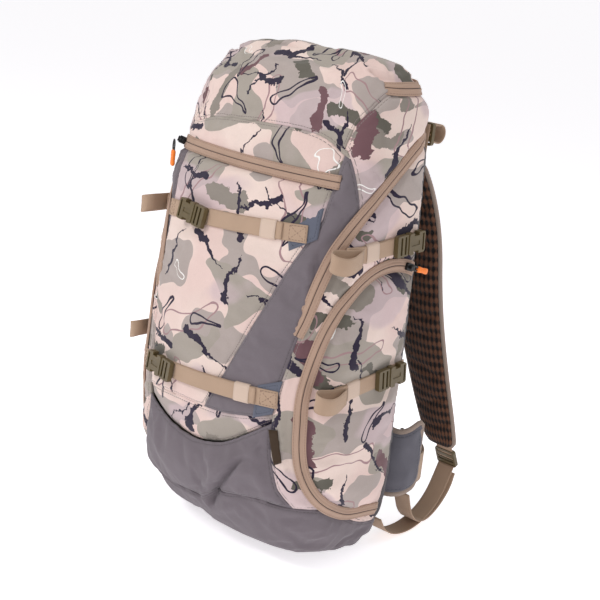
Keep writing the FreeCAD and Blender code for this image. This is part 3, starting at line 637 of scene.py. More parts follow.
class Paint:
    """One procedural material: a colour, a height and a roughness built up in layers."""

    def __init__(self, name, colour, roughness):
        self.material = bpy.data.materials.new(name)
        self.material.use_nodes = True
        self.tree = self.material.node_tree
        self.shader = self.tree.nodes["Principled BSDF"]
        self.colour = (*colour, 1.0)
        self.roughness = roughness
        self.height = None
        self.material.diffuse_color = self.colour

    def node(self, kind, output, settings=(), **inputs):
        made = self.tree.nodes.new("ShaderNode" + kind)
        for name, value in dict(settings).items():
            setattr(made, name, value)
        for name, value in inputs.items():
            connect(self.tree, made.inputs[name.replace("_", " ")], value)
        return made.outputs[output]

    def cloth(self):
        """Cloth coordinates in metres, across and along."""
        return self.node("UVMap", "UV", {"uv_map": "cloth"})

    def place(self):
        return self.node("TexCoord", "Object")

    def value(self, socket):
        return Value(self.tree, socket)

    def attribute(self, name):
        return self.value(self.node("Attribute", "Fac", {"attribute_name": name}))

    def parts(self, vector):
        made = self.tree.nodes.new("ShaderNodeSeparateXYZ")
        self.tree.links.new(vector, made.inputs[0])
        return [Value(self.tree, made.outputs[i]) for i in range(3)]

    def vector(self, operation, first, second):
        made = self.tree.nodes.new("ShaderNodeVectorMath")
        made.operation = operation
        connect(self.tree, made.inputs[0], first)
        slot = 3 if operation == "SCALE" else 1
        connect(self.tree, made.inputs[slot], second)
        return made.outputs[0]

    def noise(self, vector, scale, detail=2.0):
        return self.value(self.node("TexNoise", "Fac", Vector=vector, Scale=scale, Detail=detail))

    def blend(self, share, colour):
        """Lays a colour over what is there, by a share from 0 to 1."""
        made = self.tree.nodes.new("ShaderNodeMix")
        made.data_type = "RGBA"
        connect(self.tree, made.inputs["Factor"], share)
        connect(self.tree, made.inputs["A"], self.colour)
        connect(self.tree, made.inputs["B"], colour if hasattr(colour, "is_linked") else
                (*colour, 1.0))
        self.colour = made.outputs["Result"]

    def vary(self, vector, scale, depth, detail=3.0):
        """Makes the colour a little lighter and darker from place to place."""
        made = self.tree.nodes.new("ShaderNodeHueSaturation")
        brightness = self.noise(vector, scale, detail) * (2 * depth) + (1 - depth)
        connect(self.tree, made.inputs["Value"], brightness)
        connect(self.tree, made.inputs["Color"], self.colour)
        self.colour = made.outputs[0]

    def raise_by(self, height):
        self.height = height if self.height is None else self.height + height

    def done(self, sheen=0.0, metal=0.0, specular=0.5):
        """Connects everything; heights are in metres."""
        connect(self.tree, self.shader.inputs["Base Color"], self.colour)
        connect(self.tree, self.shader.inputs["Roughness"], self.roughness)
        self.shader.inputs["Metallic"].default_value = metal
        self.shader.inputs["Specular IOR Level"].default_value = specular
        self.shader.inputs["Sheen Weight"].default_value = sheen
        self.shader.inputs["Sheen Roughness"].default_value = 0.5
        if self.height is not None:
            bump = self.tree.nodes.new("ShaderNodeBump")
            bump.inputs["Strength"].default_value = 1.0
            bump.inputs["Distance"].default_value = 1.0
            connect(self.tree, bump.inputs["Height"], self.height)
            connect(self.tree, self.shader.inputs["Normal"], bump.outputs[0])
        return self.material


# ------------------------------------------------------------------ materials

PINK = (0.69, 0.52, 0.475)
CREAM = (0.73, 0.59, 0.53)
TAUPE = (0.385, 0.325, 0.300)
SAGE = (0.345, 0.303, 0.262)
LILAC = (0.54, 0.42, 0.44)
LEAF = (0.245, 0.214, 0.184)
OLIVE = (0.115, 0.105, 0.085)
MAUVE = (0.150, 0.075, 0.085)
DUSK = (0.34, 0.21, 0.22)
NAVY = (0.022, 0.015, 0.035)
WHITE = (0.85, 0.83, 0.80)
GREY = (0.155, 0.131, 0.146)
SLATE = (0.110, 0.118, 0.155)
WING = (0.128, 0.124, 0.146)
TAN = (0.43, 0.295, 0.205)
TAPE_TAN = (0.41, 0.275, 0.205)
PALE_TAN = (0.60, 0.46, 0.37)
ORANGE = (0.86, 0.20, 0.015)
BROWN = (0.060, 0.026, 0.014)


def weave(paint, vector, pitch, depth):
    """Plain weave: threads over and under, in the cloth's own directions."""
    across, along, _ = paint.parts(vector)
    paint.raise_by(across.wave(pitch) * along.wave(pitch) * depth)


def topstitch(paint, thread, inset=0.0034, pitch=0.0042):
    """A dashed row of thread a little inside a panel's border."""
    across, along, _ = paint.parts(paint.cloth())
    off_row = (paint.attribute("seam") - inset).size()
    mark = off_row.below(THREAD) * (across + along).wave(pitch).above(-0.55)
    paint.blend(mark, thread)
    paint.raise_by(mark * 0.0002)
    paint.raise_by(off_row.ramp(0.0, 0.0016) * 0.00025)


def motif(paint, place, scale, shift, form, colour, keep):
    """Scatters one kind of mark over the print: a share of the cells hold one, turned at random."""
    moved = paint.vector("ADD", place, shift)
    cells = paint.tree.nodes.new("ShaderNodeTexVoronoi")
    cells.voronoi_dimensions = "2D"
    cells.inputs["Scale"].default_value = scale
    cells.inputs["Randomness"].default_value = 0.55
    connect(paint.tree, cells.inputs["Vector"], moved)
    local = paint.vector("SUBTRACT", moved, cells.outputs["Position"])
    chance, spin, grow = paint.parts(cells.outputs["Color"])
    turned = paint.node("VectorRotate", 0, {"rotation_type": "Z_AXIS"}, Vector=local,
                        Angle=spin * form["turn"] + form["lean"])
    x, y, _ = paint.parts(turned)
    y = y + x.wave(form["length"] * 3.2) * (form["width"] * form["bend"])
    over = (x.size() - form["length"]).math("MAXIMUM", 0.0)
    gap = (over * over + y * y).math("SQRT")
    wide = grow * (form["width"] * 0.7) + form["width"] * 0.6
    if form["taper"]:
        wide = wide * ((x + form["length"]) * (0.8 / form["length"]) + 0.25)
    mark = wide - gap
    if form["line"]:
        mark = (mark.size() - form["line"]) * -1.0
    paint.blend(mark.above(0.0) * chance.below(keep), colour)


def shape(length, width, line=0.0, turn=6.28, lean=0.0, taper=False, bend=0.6):
    """A mark's half length, half width, outline width, random turn and fixed lean."""
    return {"length": length, "width": width, "line": line, "turn": turn, "lean": lean,
            "taper": taper, "bend": bend}


def camo_print(paint, shift):
    """A made-up brush print: pale ground, soft patches, ragged blots, twigs and outlines."""
    flat = paint.vector("ADD", paint.cloth(), shift)

    def shaken(start, scale, detail, reach):
        """Coordinates pushed about by noise, which makes an edge wavy or ragged."""
        push = paint.node("TexNoise", "Color", Vector=flat, Scale=scale, Detail=detail)
        push = paint.vector("SUBTRACT", push, (0.5, 0.5, 0.5))
        return paint.vector("ADD", start, paint.vector("SCALE", push, reach))

    place = shaken(flat, 26.0, 1.0, 0.030)
    rough = shaken(place, 150.0, 2.0, 0.011)
    tall = paint.node("Mapping", 0, Vector=place, Scale=(1.0, 1.5, 1.0))
    paint.blend(paint.noise(place, 9.0, 0.0).ramp(0.40, 0.62), CREAM)
    paint.blend(paint.noise(tall, 11.5, 0.5).above(0.545), TAUPE)
    moved = paint.vector("ADD", tall, (3.1, 1.7, 0.0))
    paint.blend(paint.noise(moved, 10.0, 0.0).above(0.60), SAGE)
    moved = paint.vector("ADD", tall, (7.7, 4.2, 0.0))
    paint.blend(paint.noise(moved, 9.0, 0.0).ramp(0.60, 0.66) * 0.7, LILAC)
    motif(paint, rough, 10.5, (0.3, 0.1, 0), shape(0.020, 0.0070, turn=0.9, lean=-0.4), OLIVE, 0.55)
    motif(paint, rough, 9.0, (0.9, 0.6, 0), shape(0.024, 0.0085), LEAF, 0.40)
    motif(paint, place, 8.0, (0.2, 0.8, 0), shape(0.040, 0.0085, 0.0010, bend=1.5), DUSK, 0.60)
    motif(paint, rough, 8.0, (0.5, 0.3, 0), shape(0.018, 0.0105, turn=1.2, lean=0.5), MAUVE, 0.36)
    sticks = [(9.0, (0.7, 0.2, 0), 0.034, 1.4, 2.6), (10.0, (1.9, 1.2, 0), 0.028, 1.0, 0.9),
              (9.5, (2.3, 0.4, 0), 0.030, 1.2, -0.5)]
    for scale, move, length, turn, lean in sticks:
        mark = shape(length, 0.0026, turn=turn, lean=lean, taper=True, bend=1.6)
        motif(paint, rough, scale, move, mark, NAVY, 0.55)
    for scale, move, length in ((10.5, (0.1, 0.9, 0), 0.022), (9.5, (1.4, 2.2, 0), 0.027)):
        motif(paint, place, scale, move, shape(length, 0.0046, 0.0012, taper=True), NAVY, 0.50)
    motif(paint, place, 9.5, (0.6, 0.5, 0), shape(0.010, 0.0042, 0.0006), WHITE, 0.25)
    motif(paint, rough, 9.0, (0.4, 0.7, 0), shape(0.024, 0.0013, turn=3.0, lean=0.8, bend=3.0),
          NAVY, 0.55)


def cloth_material(name, colour, camo=None, thread=None, sheen=0.15):
    """Woven cloth, plain or with the camo print shifted by camo, topstitched if thread is given."""
    paint = Paint(name, colour, 0.86)
    if camo is not None:
        camo_print(paint, camo)
    paint.vary(paint.place(), 35.0, 0.05)
    paint.vary(paint.place(), 700.0, 0.05, 1.0)
    weave(paint, paint.cloth(), 0.0011, 0.00004)
    paint.raise_by(paint.noise(paint.place(), 60.0) * 0.0008)
    if thread is not None:
        topstitch(paint, thread)
    return paint.done(sheen=sheen, specular=0.25)


def webbing_material(name, colour, pitch=0.0016):
    """Ribbed webbing: a rib each way, painted shade in the weave's hollows and a darker edge; u runs
    across, v along.
    """
    paint = Paint(name, colour, 0.72)
    across, along, _ = paint.parts(paint.cloth())
    paint.vary(paint.place(), 45.0, 0.08)
    rib = across.wave(pitch)
    pick = (along + across.size() * 0.4).wave(pitch * 0.9)
    paint.raise_by(rib * pick * 0.00010)
    dark = tuple(part * 0.62 for part in colour)
    # painted shade: the weave's hollows, where rib and pick dip, are darkened
    paint.blend((rib * pick).ramp(0.0, -1.0) * 0.35, dark)
    edge = across.size().ramp(WEBBING - 0.0022, WEBBING - 0.0012)
    paint.blend(edge * 0.18, dark)
    return paint.done(sheen=0.1, specular=0.35)


def tape_material():
    """Zip tape with its coil's ribs beside the middle and a stitch row near the edge."""
    paint = Paint("zip_tape", TAPE_TAN, 0.75)
    across, along, _ = paint.parts(paint.cloth())
    paint.vary(paint.place(), 50.0, 0.07)
    paint.raise_by(across.wave(0.0009) * along.wave(0.0009) * 0.00004)
    near = across.size().below(0.0016)
    dark = (0.060, 0.035, 0.028)
    paint.blend(near * along.wave(0.0013).above(0.0) * 0.30, dark)
    paint.blend(across.size().below(0.00040), dark)
    row = (across.size() - 0.0064).size().below(THREAD)
    paint.blend(row * along.wave(0.0036).above(-0.5) * 0.7, (0.25, 0.15, 0.11))
    paint.raise_by(row * -0.0002)
    return paint.done(sheen=0.1, specular=0.3)


def mesh_material():
    """Spacer mesh: a net of pointed holes painted near black as the shade in them, with a painted
    reddish highlight on the net between.
    """
    paint = Paint("spacer_mesh", BROWN, 0.80)
    across, along, _ = paint.parts(paint.cloth())
    one = (across * 1.0 + along * 0.52).wave(0.0125)
    two = (across * 1.0 - along * 0.52).wave(0.0125)
    hole = (one * two).ramp(0.05, 0.55)
    paint.vary(paint.place(), 30.0, 0.25)
    # painted shade: the sunken holes are darkened to near black
    paint.blend(hole, (0.006, 0.004, 0.004))
    # painted highlight: a brighter reddish brown on the net between the holes
    paint.blend((one * two).below(-0.25) * 0.5, (0.200, 0.085, 0.045))
    paint.raise_by(hole * -0.0016)
    paint.raise_by(across.wave(0.0012) * along.wave(0.0012) * 0.00008)
    return paint.done(sheen=0.05, specular=0.3)


def slider_material(name, grip_top):
    """Dark metal above a height and the moulded orange of a grip below it."""
    paint = Paint(name, (0.016, 0.016, 0.018), 0.45)
    height = paint.parts(paint.place())[2]
    paint.blend(height.below(grip_top), ORANGE)
    paint.raise_by(paint.noise(paint.place(), 900.0) * 0.00004)
    return paint.done()


def moulded_material(name, colour, rough, grain=0.00008, metal=0.0):
    """Moulded plastic or plain metal with a fine grain."""
    paint = Paint(name, colour, rough)
    paint.vary(paint.place(), 90.0, 0.18)
    paint.raise_by(paint.noise(paint.place(), 1400.0) * grain)
    paint.roughness = paint.noise(paint.place(), 160.0) * 0.25 + (rough - 0.12)
    return paint.done(metal=metal)


def cord_material():
    paint = Paint("pull_cord", (0.012, 0.012, 0.013), 0.7)
    across, along, _ = paint.parts(paint.place())
    paint.raise_by((across + along).wave(0.0012) * 0.0001)
    paint.vary(paint.place(), 300.0, 0.3)
    return paint.done(sheen=0.2)


def make_materials():
    thread = (0.22, 0.18, 0.17)
    return {
        "camo": cloth_material("camo_cloth", PINK, (0.0, 0.0, 0), thread),
        "camo_lid": cloth_material("camo_cloth_lid", PINK, (1.31, 0.47, 0), thread),
        "camo_right": cloth_material("camo_cloth_right", PINK, (2.62, 1.13, 0), thread),
        "camo_left": cloth_material("camo_cloth_left", PINK, (4.15, 0.36, 0), thread),
        "grey": cloth_material("grey_cloth", GREY, None, (0.10, 0.085, 0.09)),
        "slate": cloth_material("patch_cloth", SLATE, None, (0.07, 0.075, 0.10)),
        "wing": cloth_material("wing_cloth", WING, None, (0.07, 0.07, 0.09)),
        "lining": cloth_material("lining_cloth", (0.24, 0.20, 0.17)),
        "back": cloth_material("back_cloth", (0.085, 0.075, 0.08), None, (0.05, 0.045, 0.045)),
        "webbing": webbing_material("webbing", TAN),
        "keeper": webbing_material("elastic", PALE_TAN, 0.0022),
        "binding": webbing_material("binding", (0.30, 0.23, 0.19), 0.0024),
        "tape": tape_material(),
        "mesh": mesh_material(),
        "thread": moulded_material("thread", (0.22, 0.14, 0.10), 0.6),
        "buckle": moulded_material("buckle_plastic", (0.105, 0.075, 0.030), 0.42),
        "metal": moulded_material("slider_metal", (0.016, 0.016, 0.018), 0.35, 0.00002, 0.4),
        "main_slider": slider_material("main_slider_metal", MAIN_ZIP[-1][1] - 0.011),
        "lid_slider": slider_material("lid_slider_metal", LID_ZIP - 0.011),
        "grip": moulded_material("pull_rubber", ORANGE, 0.50),
        "cord": cord_material(),
        "sheet": moulded_material("frame_plastic", (0.03, 0.03, 0.032), 0.5),
        "stay": moulded_material("stay_metal", (0.55, 0.55, 0.57), 0.35, 0.00002, 1.0),
        "tab": cloth_material("seam_tab", (0.040, 0.022, 0.010)),
    }


material = make_materials()


def paint_on(made, *names):
    """Gives a piece its materials, by their names in the table."""
    made.data.materials.clear()
    for name in names:
        made.data.materials.append(material[name])
    return made


# ------------------------------------------------------------------ the bag's panels

# For each panel: its bodies, the CAD nodes it stands for, its material, how far it puffs out, how
# much its cloth grows in the simulation (a share) and its thickness.
PANELS = {
    "base": (["pack"], ["base_panel"], "grey", 0.0010, 0.012, 0.0040),
    "back_panel": (["pack"], ["back_panel"], "back", 0.0020, 0.008, 0.0060),
    "side_panel_left": (["pack"], ["side_panel_left"], "camo_left", 0.0015, 0.020, 0.0050),
    "side_panel_right": (["pack"], ["side_panel_right"], "camo_right", 0.0015, 0.020, 0.0050),
    "side_pocket_left": (["pack"], ["side_pocket_left"], "camo_left", 0.0060, 0.018, 0.0020),
    "side_pocket_right": (["pack"], ["side_pocket_right"], "camo_right", 0.0060, 0.018, 0.0020),
    "front_camo": (["pack", "flap"], ["front_pocket_lower", "front_pocket_upper"], "camo",
                   0.0035, 0.020, 0.0018),
    "wedge_right": (["pack", "flap"], [], "grey", 0.0010, 0.030, 0.0018),
    "wedge_left": (["flap"], [], "grey", 0.0010, 0.020, 0.0018),
    "pocket_mouth": (["pack"], [], "camo_lid", 0.0, 0.0, 0.0018),
    "boot_pocket": (["pack"], ["boot_pocket"], "grey", 0.0045, 0.030, 0.0022),
    "lid_front": (["flap"], [], "camo_lid", 0.0030, 0.020, 0.0022),
    "lid_top": (["flap"], ["lid_shell"], "camo_lid", 0.0045, 0.018, 0.0022),
    "lid_sides": (["flap"], [], "camo_right", 0.0025, 0.020, 0.0022),
}

# Ends of the straps on the bag: (x, z) on the front and (y, z) on the sides. The mouth of each
# strap's buckle and its keeper are given by their x or y alone.
FRONT_STRAPS = {
    "upper": {"left": (-0.116, 0.389), "right": (0.104, 0.405), "mouth": -0.054, "keeper": 0.056},
    "lower": {"left": (-0.116, 0.204), "right": (0.106, 0.217), "mouth": -0.066, "keeper": 0.062},
}
SIDE_STRAPS = {
    "upper": {"front": (-0.064, 0.387), "rear": (0.056, 0.399), "mouth": 0.024, "keeper": -0.0325},
    "lower": {"front": (-0.064, 0.228), "rear": (0.056, 0.243), "mouth": 0.020, "keeper": -0.0365},
}


def even(points, step):
    """The same path with points at an even spacing and its corners rounded off."""
    path = rounded(points)
    along = lengths_along(path)
    count = max(int(round(along[-1] / step)), 2)
    spots = np.linspace(0, along[-1], count + 1)
    return np.stack([np.interp(spots, along, path[:, k]) for k in range(path.shape[1])], 1)


class Skin:
    """The measured surface of the bag, before any relief, for laying things on."""

    def __init__(self, mesh):
        self.tree = BVHTree.FromBMesh(mesh)

    def cast(self, start, way):
        """Where a ray meets the skin, and the skin's normal there."""
        place, normal, _, _ = self.tree.ray_cast(Vector(start), Vector(way))
        return np.array(place), np.array(normal)

    def lay(self, hits):
        """Places and evened-out normals."""
        places = np.array([hit[0] for hit in hits])
        normals = np.array([hit[1] for hit in hits])
        for _ in range(6):
            middle = normals[:-2] + 2 * normals[1:-1] + normals[2:]
            normals = unit(np.vstack([normals[:1], middle, normals[-1:]]))
        return places, normals

    def front(self, points, step=0.003):
        """A path given in front view, (x, z)."""
        return self.lay([self.cast((x, -0.4, z), (0, 1, 0)) for x, z in even(points, step)])

    def towards_axis(self, angle, height):
        """The skin at an angle round the bag, which is zero at the middle of the front."""
        way = np.array((math.sin(angle), -math.cos(angle), 0.0))
        return self.cast(way * REACH + (0, AXIS_Y, height), -way)

    def side(self, points, side, step=0.003):
        """A path given in side view, (y, z), carried on round the back corner past y 0.045."""
        hits = []
        for y, z in even(points, step):
            if y < 0.045:
                hits.append(self.cast((side * 0.4, y, z), (-side, 0, 0)))
            else:
                hits.append(self.towards_axis(side * math.atan2(0.148, AXIS_Y - y), z))
        return self.lay(hits)

    def round(self, first, last, step=0.003):
        """A path round the bag between two (angle in degrees, height) places."""
        count = int(abs(last[0] - first[0]) * math.pi / 180 * 0.13 / step)
        return self.lay([self.towards_axis(math.radians(angle), height) for angle, height in
                         zip(np.linspace(first[0], last[0], count),
                             np.linspace(first[1], last[1], count))])


def strap_lines(skin):
    """Every strap that lies on the bag: name and its places and normals."""
    lines = {}
    for name, strap in FRONT_STRAPS.items():
        lines[f"front_{name}"] = skin.front([strap["left"], strap["right"]])
    for name, strap in SIDE_STRAPS.items():
        for word, side in SIDES:
            lines[f"side_{name}_{word}"] = skin.side([strap["front"], strap["rear"]], side)
    return lines


def zip_distance(points):
    """Distance to the nearest zip's middle line."""
    x, y, z = points.T
    far = 1.0
    zips = [(~on_front(points) & (z > FOLD_Z), main_zip(points)),
            ((np.abs(x) > 0.09) & (y < 0.06), side_zip(points)),
            ((y < -0.044) & (x < 0.122), z - FRONT_ZIP),
            (y > -0.008, z - LID_ZIP)]
    return np.min([np.where(reached, np.abs(gap), far) for reached, gap in zips], axis=0)


def pleat_relief(points):
    """The deep fold that runs down the boot pocket's right side."""
    across = line_field(PLEAT, 0, 2)(points)
    fade = soft_step(points[:, 2], 0.026, 0.060) * (points[:, 1] < -0.05)
    fade *= 1 - soft_step(points[:, 2], 0.118, 0.148)
    return fade * (0.0050 * np.exp(-((across + 0.010) / 0.009) ** 2)
                   - 0.0085 * np.exp(-(across / 0.0040) ** 2)
                   + 0.0022 * np.exp(-((across - 0.013) / 0.010) ** 2))


def scoop_relief(points):
    """The pocket's mouth falls back behind the boot pocket's hem."""
    drop = -boot_hem(points)
    return -0.0045 * soft_step(drop, -0.024, 0.002)


def creases(points, seed):
    """Sharp-backed folds, longer than they are wide, running in two directions."""
    lean = points @ np.array([[1.0, 0.0, 0.5], [0.0, 1.0, 0.0], [-0.4, 0.0, 1.5]])
    steep = points @ np.array([[1.3, 0.0, -0.3], [0.0, 1.3, 0.0], [0.5, 0.0, 0.6]])
    folds = -0.0028 * np.abs(lumps(lean, 0.060, seed + 5))
    return folds - 0.0016 * np.abs(lumps(steep, 0.038, seed + 9)) + 0.0011


def keep_above_floor(points):
    """The same points with none below the floor."""
    return np.column_stack([points[:, :2], np.maximum(points[:, 2], 0.0)])


def wrinkles(points, seed):
    """Soft unevenness and creases, the same for the same seed."""
    soft = lumps(points * (1, 1, 0.7), 0.055, seed) * 0.0016
    return soft + lumps(points, 0.022, seed + 3) * 0.0006 + creases(points, seed)


def fill_out(made, normals, border, growth, free):
    """Cloth simulation of a panel; its points move a few millimetres out and hardly sideways."""
    shaped = points_of(made)
    moved = simulate(made, border < 0.0016, 1.2, growth)
    outward = (moved * normals).sum(1)
    along = moved - outward[:, None] * normals
    outward = np.clip(outward, -0.0030, 0.0040) * (0.15 + 0.85 * free)
    length = np.linalg.norm(along, axis=1)[:, None] + 1e-9
    along *= np.minimum(length, 0.0008) / length
    set_points(made, shaped + normals * outward[:, None] + along)


def press_zips_in(made, points, normals, border):
    """The panel dips at its seams and lies a little under the tape of a zip that runs past it."""
    deepest = -0.0024
    away = zip_distance(points)
    recess = deepest * (1 - soft_step(away, 0.0085, 0.0125))
    dip = -0.0016 * np.exp(-(border / 0.0034) ** 2) * soft_step(away, 0.008, 0.012)
    shaped = points_of(made)
    relief = ((shaped - points) * normals).sum(1)
    limit = np.maximum(recess + np.where(away < 0.0105, 0.0, 1.0), deepest)
    sunk = np.minimum(np.minimum(relief + dip, limit), relief + dip + recess)
    shaped += normals * (np.where(away < 0.0125, sunk, relief + dip) - relief)[:, None]
    set_points(made, keep_above_floor(shaped))


def shape_panel(made, name, puff, growth, press_tree):
    """Relief, then cloth simulation, then the dips along zips and seams."""
    points, normals = points_of(made), normals_of(made)
    border = distances(points, border_points(made))
    to_strap = np.array([press_tree.find(point)[2] for point in points])
    free = soft_step(to_strap, 0.012, 0.034)
    seed = sum(map(ord, name)) % 17
    relief = puff * (1 - np.exp(-(border / 0.022) ** 2)) * (0.25 + 0.75 * free)
    relief += wrinkles(points, seed) * soft_step(border, 0.0, 0.02) * (0.3 + 0.7 * free)
    if name in ("boot_pocket", "base"):
        relief += pleat_relief(points)
    if name == "pocket_mouth":
        relief += scoop_relief(points)
    set_points(made, points + normals * relief[:, None])
    if growth:
        fill_out(made, normals, border, growth, free)
    press_zips_in(made, points, normals, border)
    set_attribute(made, "seam", border)


def lay_print_flat(made):
    """Cloth coordinates for the lid's top, where going round the bag would squeeze the print."""
    points = points_of(made)
    beside = soft_step(np.abs(points[:, 0]), 0.03, 0.12) * np.sign(points[:, 0])
    across = points[:, 0] + beside * (points[:, 1] + 0.06)
    along = points[:, 2] * 0.8 + points[:, 1] * 0.8
    layer = made.data.uv_layers["cloth"].data
    for loop, corner in zip(made.data.loops, layer):
        corner.uv = (across[loop.vertex_index], along[loop.vertex_index])


def build_panels(mesh, press_tree):
    """Every panel of the skin as its own piece; straps hold them down near press_tree's points."""
    faces = list(mesh.faces)
    centres = np.array([face.calc_center_median() for face in faces])
    names = panel_names(centres)
    for name, (bodies, nodes, cloth, puff, growth, thick) in PANELS.items():
        chosen = [face for face, label in zip(faces, names) if label == name]
        made = paint_on(take_faces(mesh, name, chosen), cloth, "lining")
        if name == "lid_top":
            lay_print_flat(made)
        shape_panel(made, name, puff, growth, press_tree)
        solidify(made, thick, 1)
        set_points(made, keep_above_floor(points_of(made)))
        if nodes:
            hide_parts(*nodes)
        if len(bodies) == 1:
            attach(made, bodies[0])
        else:
            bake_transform(made)


def build_front_wall():
    """The wall of the main compartment behind the front pocket, which opens with the flap."""
    names = ["front_wall_lower", "front_wall_upper"]
    tree = joined_tree(names)
    low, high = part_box(names[0])[0].z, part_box(names[1])[1].z
    heights = np.arange(low + 0.002, high - 0.012, 0.005)
    angles = np.radians(np.arange(-62, 62.1, 2.2))
    radius = radius_grid(tree, heights, angles)
    for _ in range(4):
        radius[:, 1:-1] = (radius[:, :-2] + 2 * radius[:, 1:-1] + radius[:, 2:]) / 4
    radius = smooth_rows(radius, 4, False)
    rows = [[(r * math.sin(a), axis_at(z) - r * math.cos(a), z) for r, a in zip(row, angles)]
            for row, z in zip(radius, heights)]
    made = paint_on(sheet("front_wall", rows), "lining", "lining")
    points, normals = points_of(made), normals_of(made)
    set_points(made, points + normals * (lumps(points, 0.05, 5) * 0.002 - 0.001)[:, None])
    solidify(made, 0.0030)
    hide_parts(*names)
    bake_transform(made)


# ------------------------------------------------------------------ swept pieces

def ring_mesh(name, rings, across, along, closed=False, caps=True):
    """A mesh from rings of points; across and along are each vertex's cloth coordinates."""
    count, size = rings.shape[:2]
    mesh = bmesh.new()
    layer = mesh.loops.layers.uv.new("cloth")
    verts = [[mesh.verts.new(point) for point in ring] for ring in rings]

    def face(corners):
        made = mesh.faces.new([verts[i % count][j % size] for i, j in corners])
        made.smooth = True
        for loop, (i, j) in zip(made.loops, corners):
            loop[layer].uv = (across[j % size], along[i])

    for i in range(count if closed else count - 1):
        for j in range(size):
            face([(i, j), (i, j + 1), (i + 1, j + 1), (i + 1, j)])
    if caps and not closed:
        face([(0, j) for j in reversed(range(size))])
        face([(count - 1, j) for j in range(size)])
    bmesh.ops.recalc_face_normals(mesh, faces=mesh.faces)
    return to_object(name, mesh)


def frames_along(points, normals, closed=False):
    """Tangents, normals and sideways directions along a path, all square to each other."""
    if closed:
        tangents = unit(np.roll(points, -1, 0) - np.roll(points, 1, 0))
    else:
        tangents = unit(np.gradient(points, axis=0))
    normals = unit(normals - (normals * tangents).sum(1)[:, None] * tangents)
    return tangents, normals, np.cross(normals, tangents)


def sweep(name, points, normals, profile, closed=False):
    """Carries a closed profile, (sideways, outwards) in metres, along a path."""
    points = np.array(points, float)
    _, outward, side = frames_along(points, np.array(normals, float), closed)
    profile = np.array(profile, float)
    rings = (points[:, None] + side[:, None] * profile[None, :, :1]
             + outward[:, None] * profile[None, :, 1:])
    around = np.vstack([points, points[:1]]) if closed else points
    return ring_mesh(name, rings, profile[:, 0], lengths_along(around), closed)


def webbing_profile(half, thick, outset=0.0):
    """Flat webbing with slightly thinner, rounded edges."""
    side = [(half - 0.0009, 0.0), (half - 0.0002, thick * 0.2), (half, thick * 0.5),
            (half - 0.0002, thick * 0.8), (half - 0.0009, thick)]
    top = [(half * 0.5, thick * 1.04), (0, thick * 1.05), (-half * 0.5, thick * 1.04)]
    points = side + top + [(-a, b) for a, b in reversed(side)] + [(0, 0.0)]
    return [(a, b + outset) for a, b in points]


def webbing_piece(name, points, normals, half, body, nodes, thick=STRAP_THICK, outset=0.0):
    """Webbing along a path, riding on a body in place of CAD nodes."""
    made = sweep(name, points, normals, webbing_profile(half, thick, outset))
    return ride_and_replace(paint_on(made, "webbing"), body, nodes)


def lift(line, distance):
    """A line moved outwards along its normals."""
    points, normals = line
    return points + normals * distance, normals


def clip_line(line, low, high):
    """The part of a line between two indices given as shares of its length."""
    points, normals = line
    first, last = int(low * (len(points) - 1)), int(high * (len(points) - 1))
    return points[first:last + 1], normals[first:last + 1]


def share_at(line, axis, value):
    """How far along a line, as a share, one of its coordinates comes nearest to a value."""
    points = line[0]
    return float(np.abs(points[:, axis] - value).argmin()) / (len(points) - 1)


def plane_normals(path, across):
    """Normals of a path that lies in the plane square to a direction, on its left side."""
    return unit(np.cross(np.array(across, float), np.gradient(path, axis=0)))


def add_stitch(mesh, ends, normal):
    """One rounded stitch of thread between two ends."""
    way = (ends[1] - ends[0]) / np.linalg.norm(ends[1] - ends[0])
    side = np.cross(normal, way)
    corners = 6
    turns = np.arange(0, 6.28, 1.0472)
    rings = []
    for share, wide in ((0.0, 0.35), (0.2, 0.9), (0.8, 0.9), (1.0, 0.35)):
        middle = ends[0] + (ends[1] - ends[0]) * share
        rings.append([mesh.verts.new(middle + (side * math.cos(turn) + normal * math.sin(turn))
                                     * THREAD * wide) for turn in turns])
    for a, b in zip(rings, rings[1:]):
        for j in range(corners):
            mesh.faces.new((a[j], a[(j + 1) % corners], b[(j + 1) % corners], b[j]))
    mesh.faces.new(rings[0][::-1])
    mesh.faces.new(rings[-1])


def stitches(name, rows, body, length=0.0026, gap=0.0014):
    """Real thread: one short stitch after another along each row."""
    mesh = bmesh.new()
    for points, normals in rows:
        along = lengths_along(points)
        for start in np.arange(0, along[-1] - length, length + gap):
            ends = [np.array([np.interp(at, along, points[:, k]) for k in range(3)])
                    for at in (start, start + length)]
            near = min(int(np.searchsorted(along, start)), len(normals) - 1)
            add_stitch(mesh, ends, normals[near])
    bmesh.ops.recalc_face_normals(mesh, faces=mesh.faces)
    for face in mesh.faces:
        face.smooth = True
    made = paint_on(to_object(name, mesh), "thread")
    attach(made, body)


def box_stitch(line, length, outset):
    """The rows of a sewn box with a cross, on the end of a strap's line."""
    half = WEBBING - 0.0022
    points, normals = line
    _, normals, side = frames_along(points, normals)
    gaps = lengths_along(points)
    start = gaps[-1] - length - 0.002

    def spot(along, across):
        at = [np.interp(along, gaps, points[:, k]) for k in range(3)]
        near = int(np.abs(gaps - along).argmin())
        return at + side[near] * across + normals[near] * outset, normals[near]

    corners = [(start, -half), (start + length, -half), (start + length, half), (start, half),
               (start, -half), (start + length, half), (start, half), (start + length, -half)]
    rows = []
    for (a0, b0), (a1, b1) in zip(corners, corners[1:]):
        spots = [spot(a0 + (a1 - a0) * t, b0 + (b1 - b0) * t) for t in np.linspace(0, 1, 8)]
        rows.append((np.array([s[0] for s in spots]), np.array([s[1] for s in spots])))
    return rows


# ------------------------------------------------------------------ zips

TAPE_PROFILE = [(0.0001, -0.0020), (0.0080, -0.0020), (0.0082, -0.0012), (0.0079, -0.0003),
                (0.0066, -0.0001), (0.0050, 0.0000), (0.0034, 0.0001), (0.0026, 0.0008),
                (0.0016, 0.0009), (0.0006, 0.0007), (0.0001, 0.0002)]


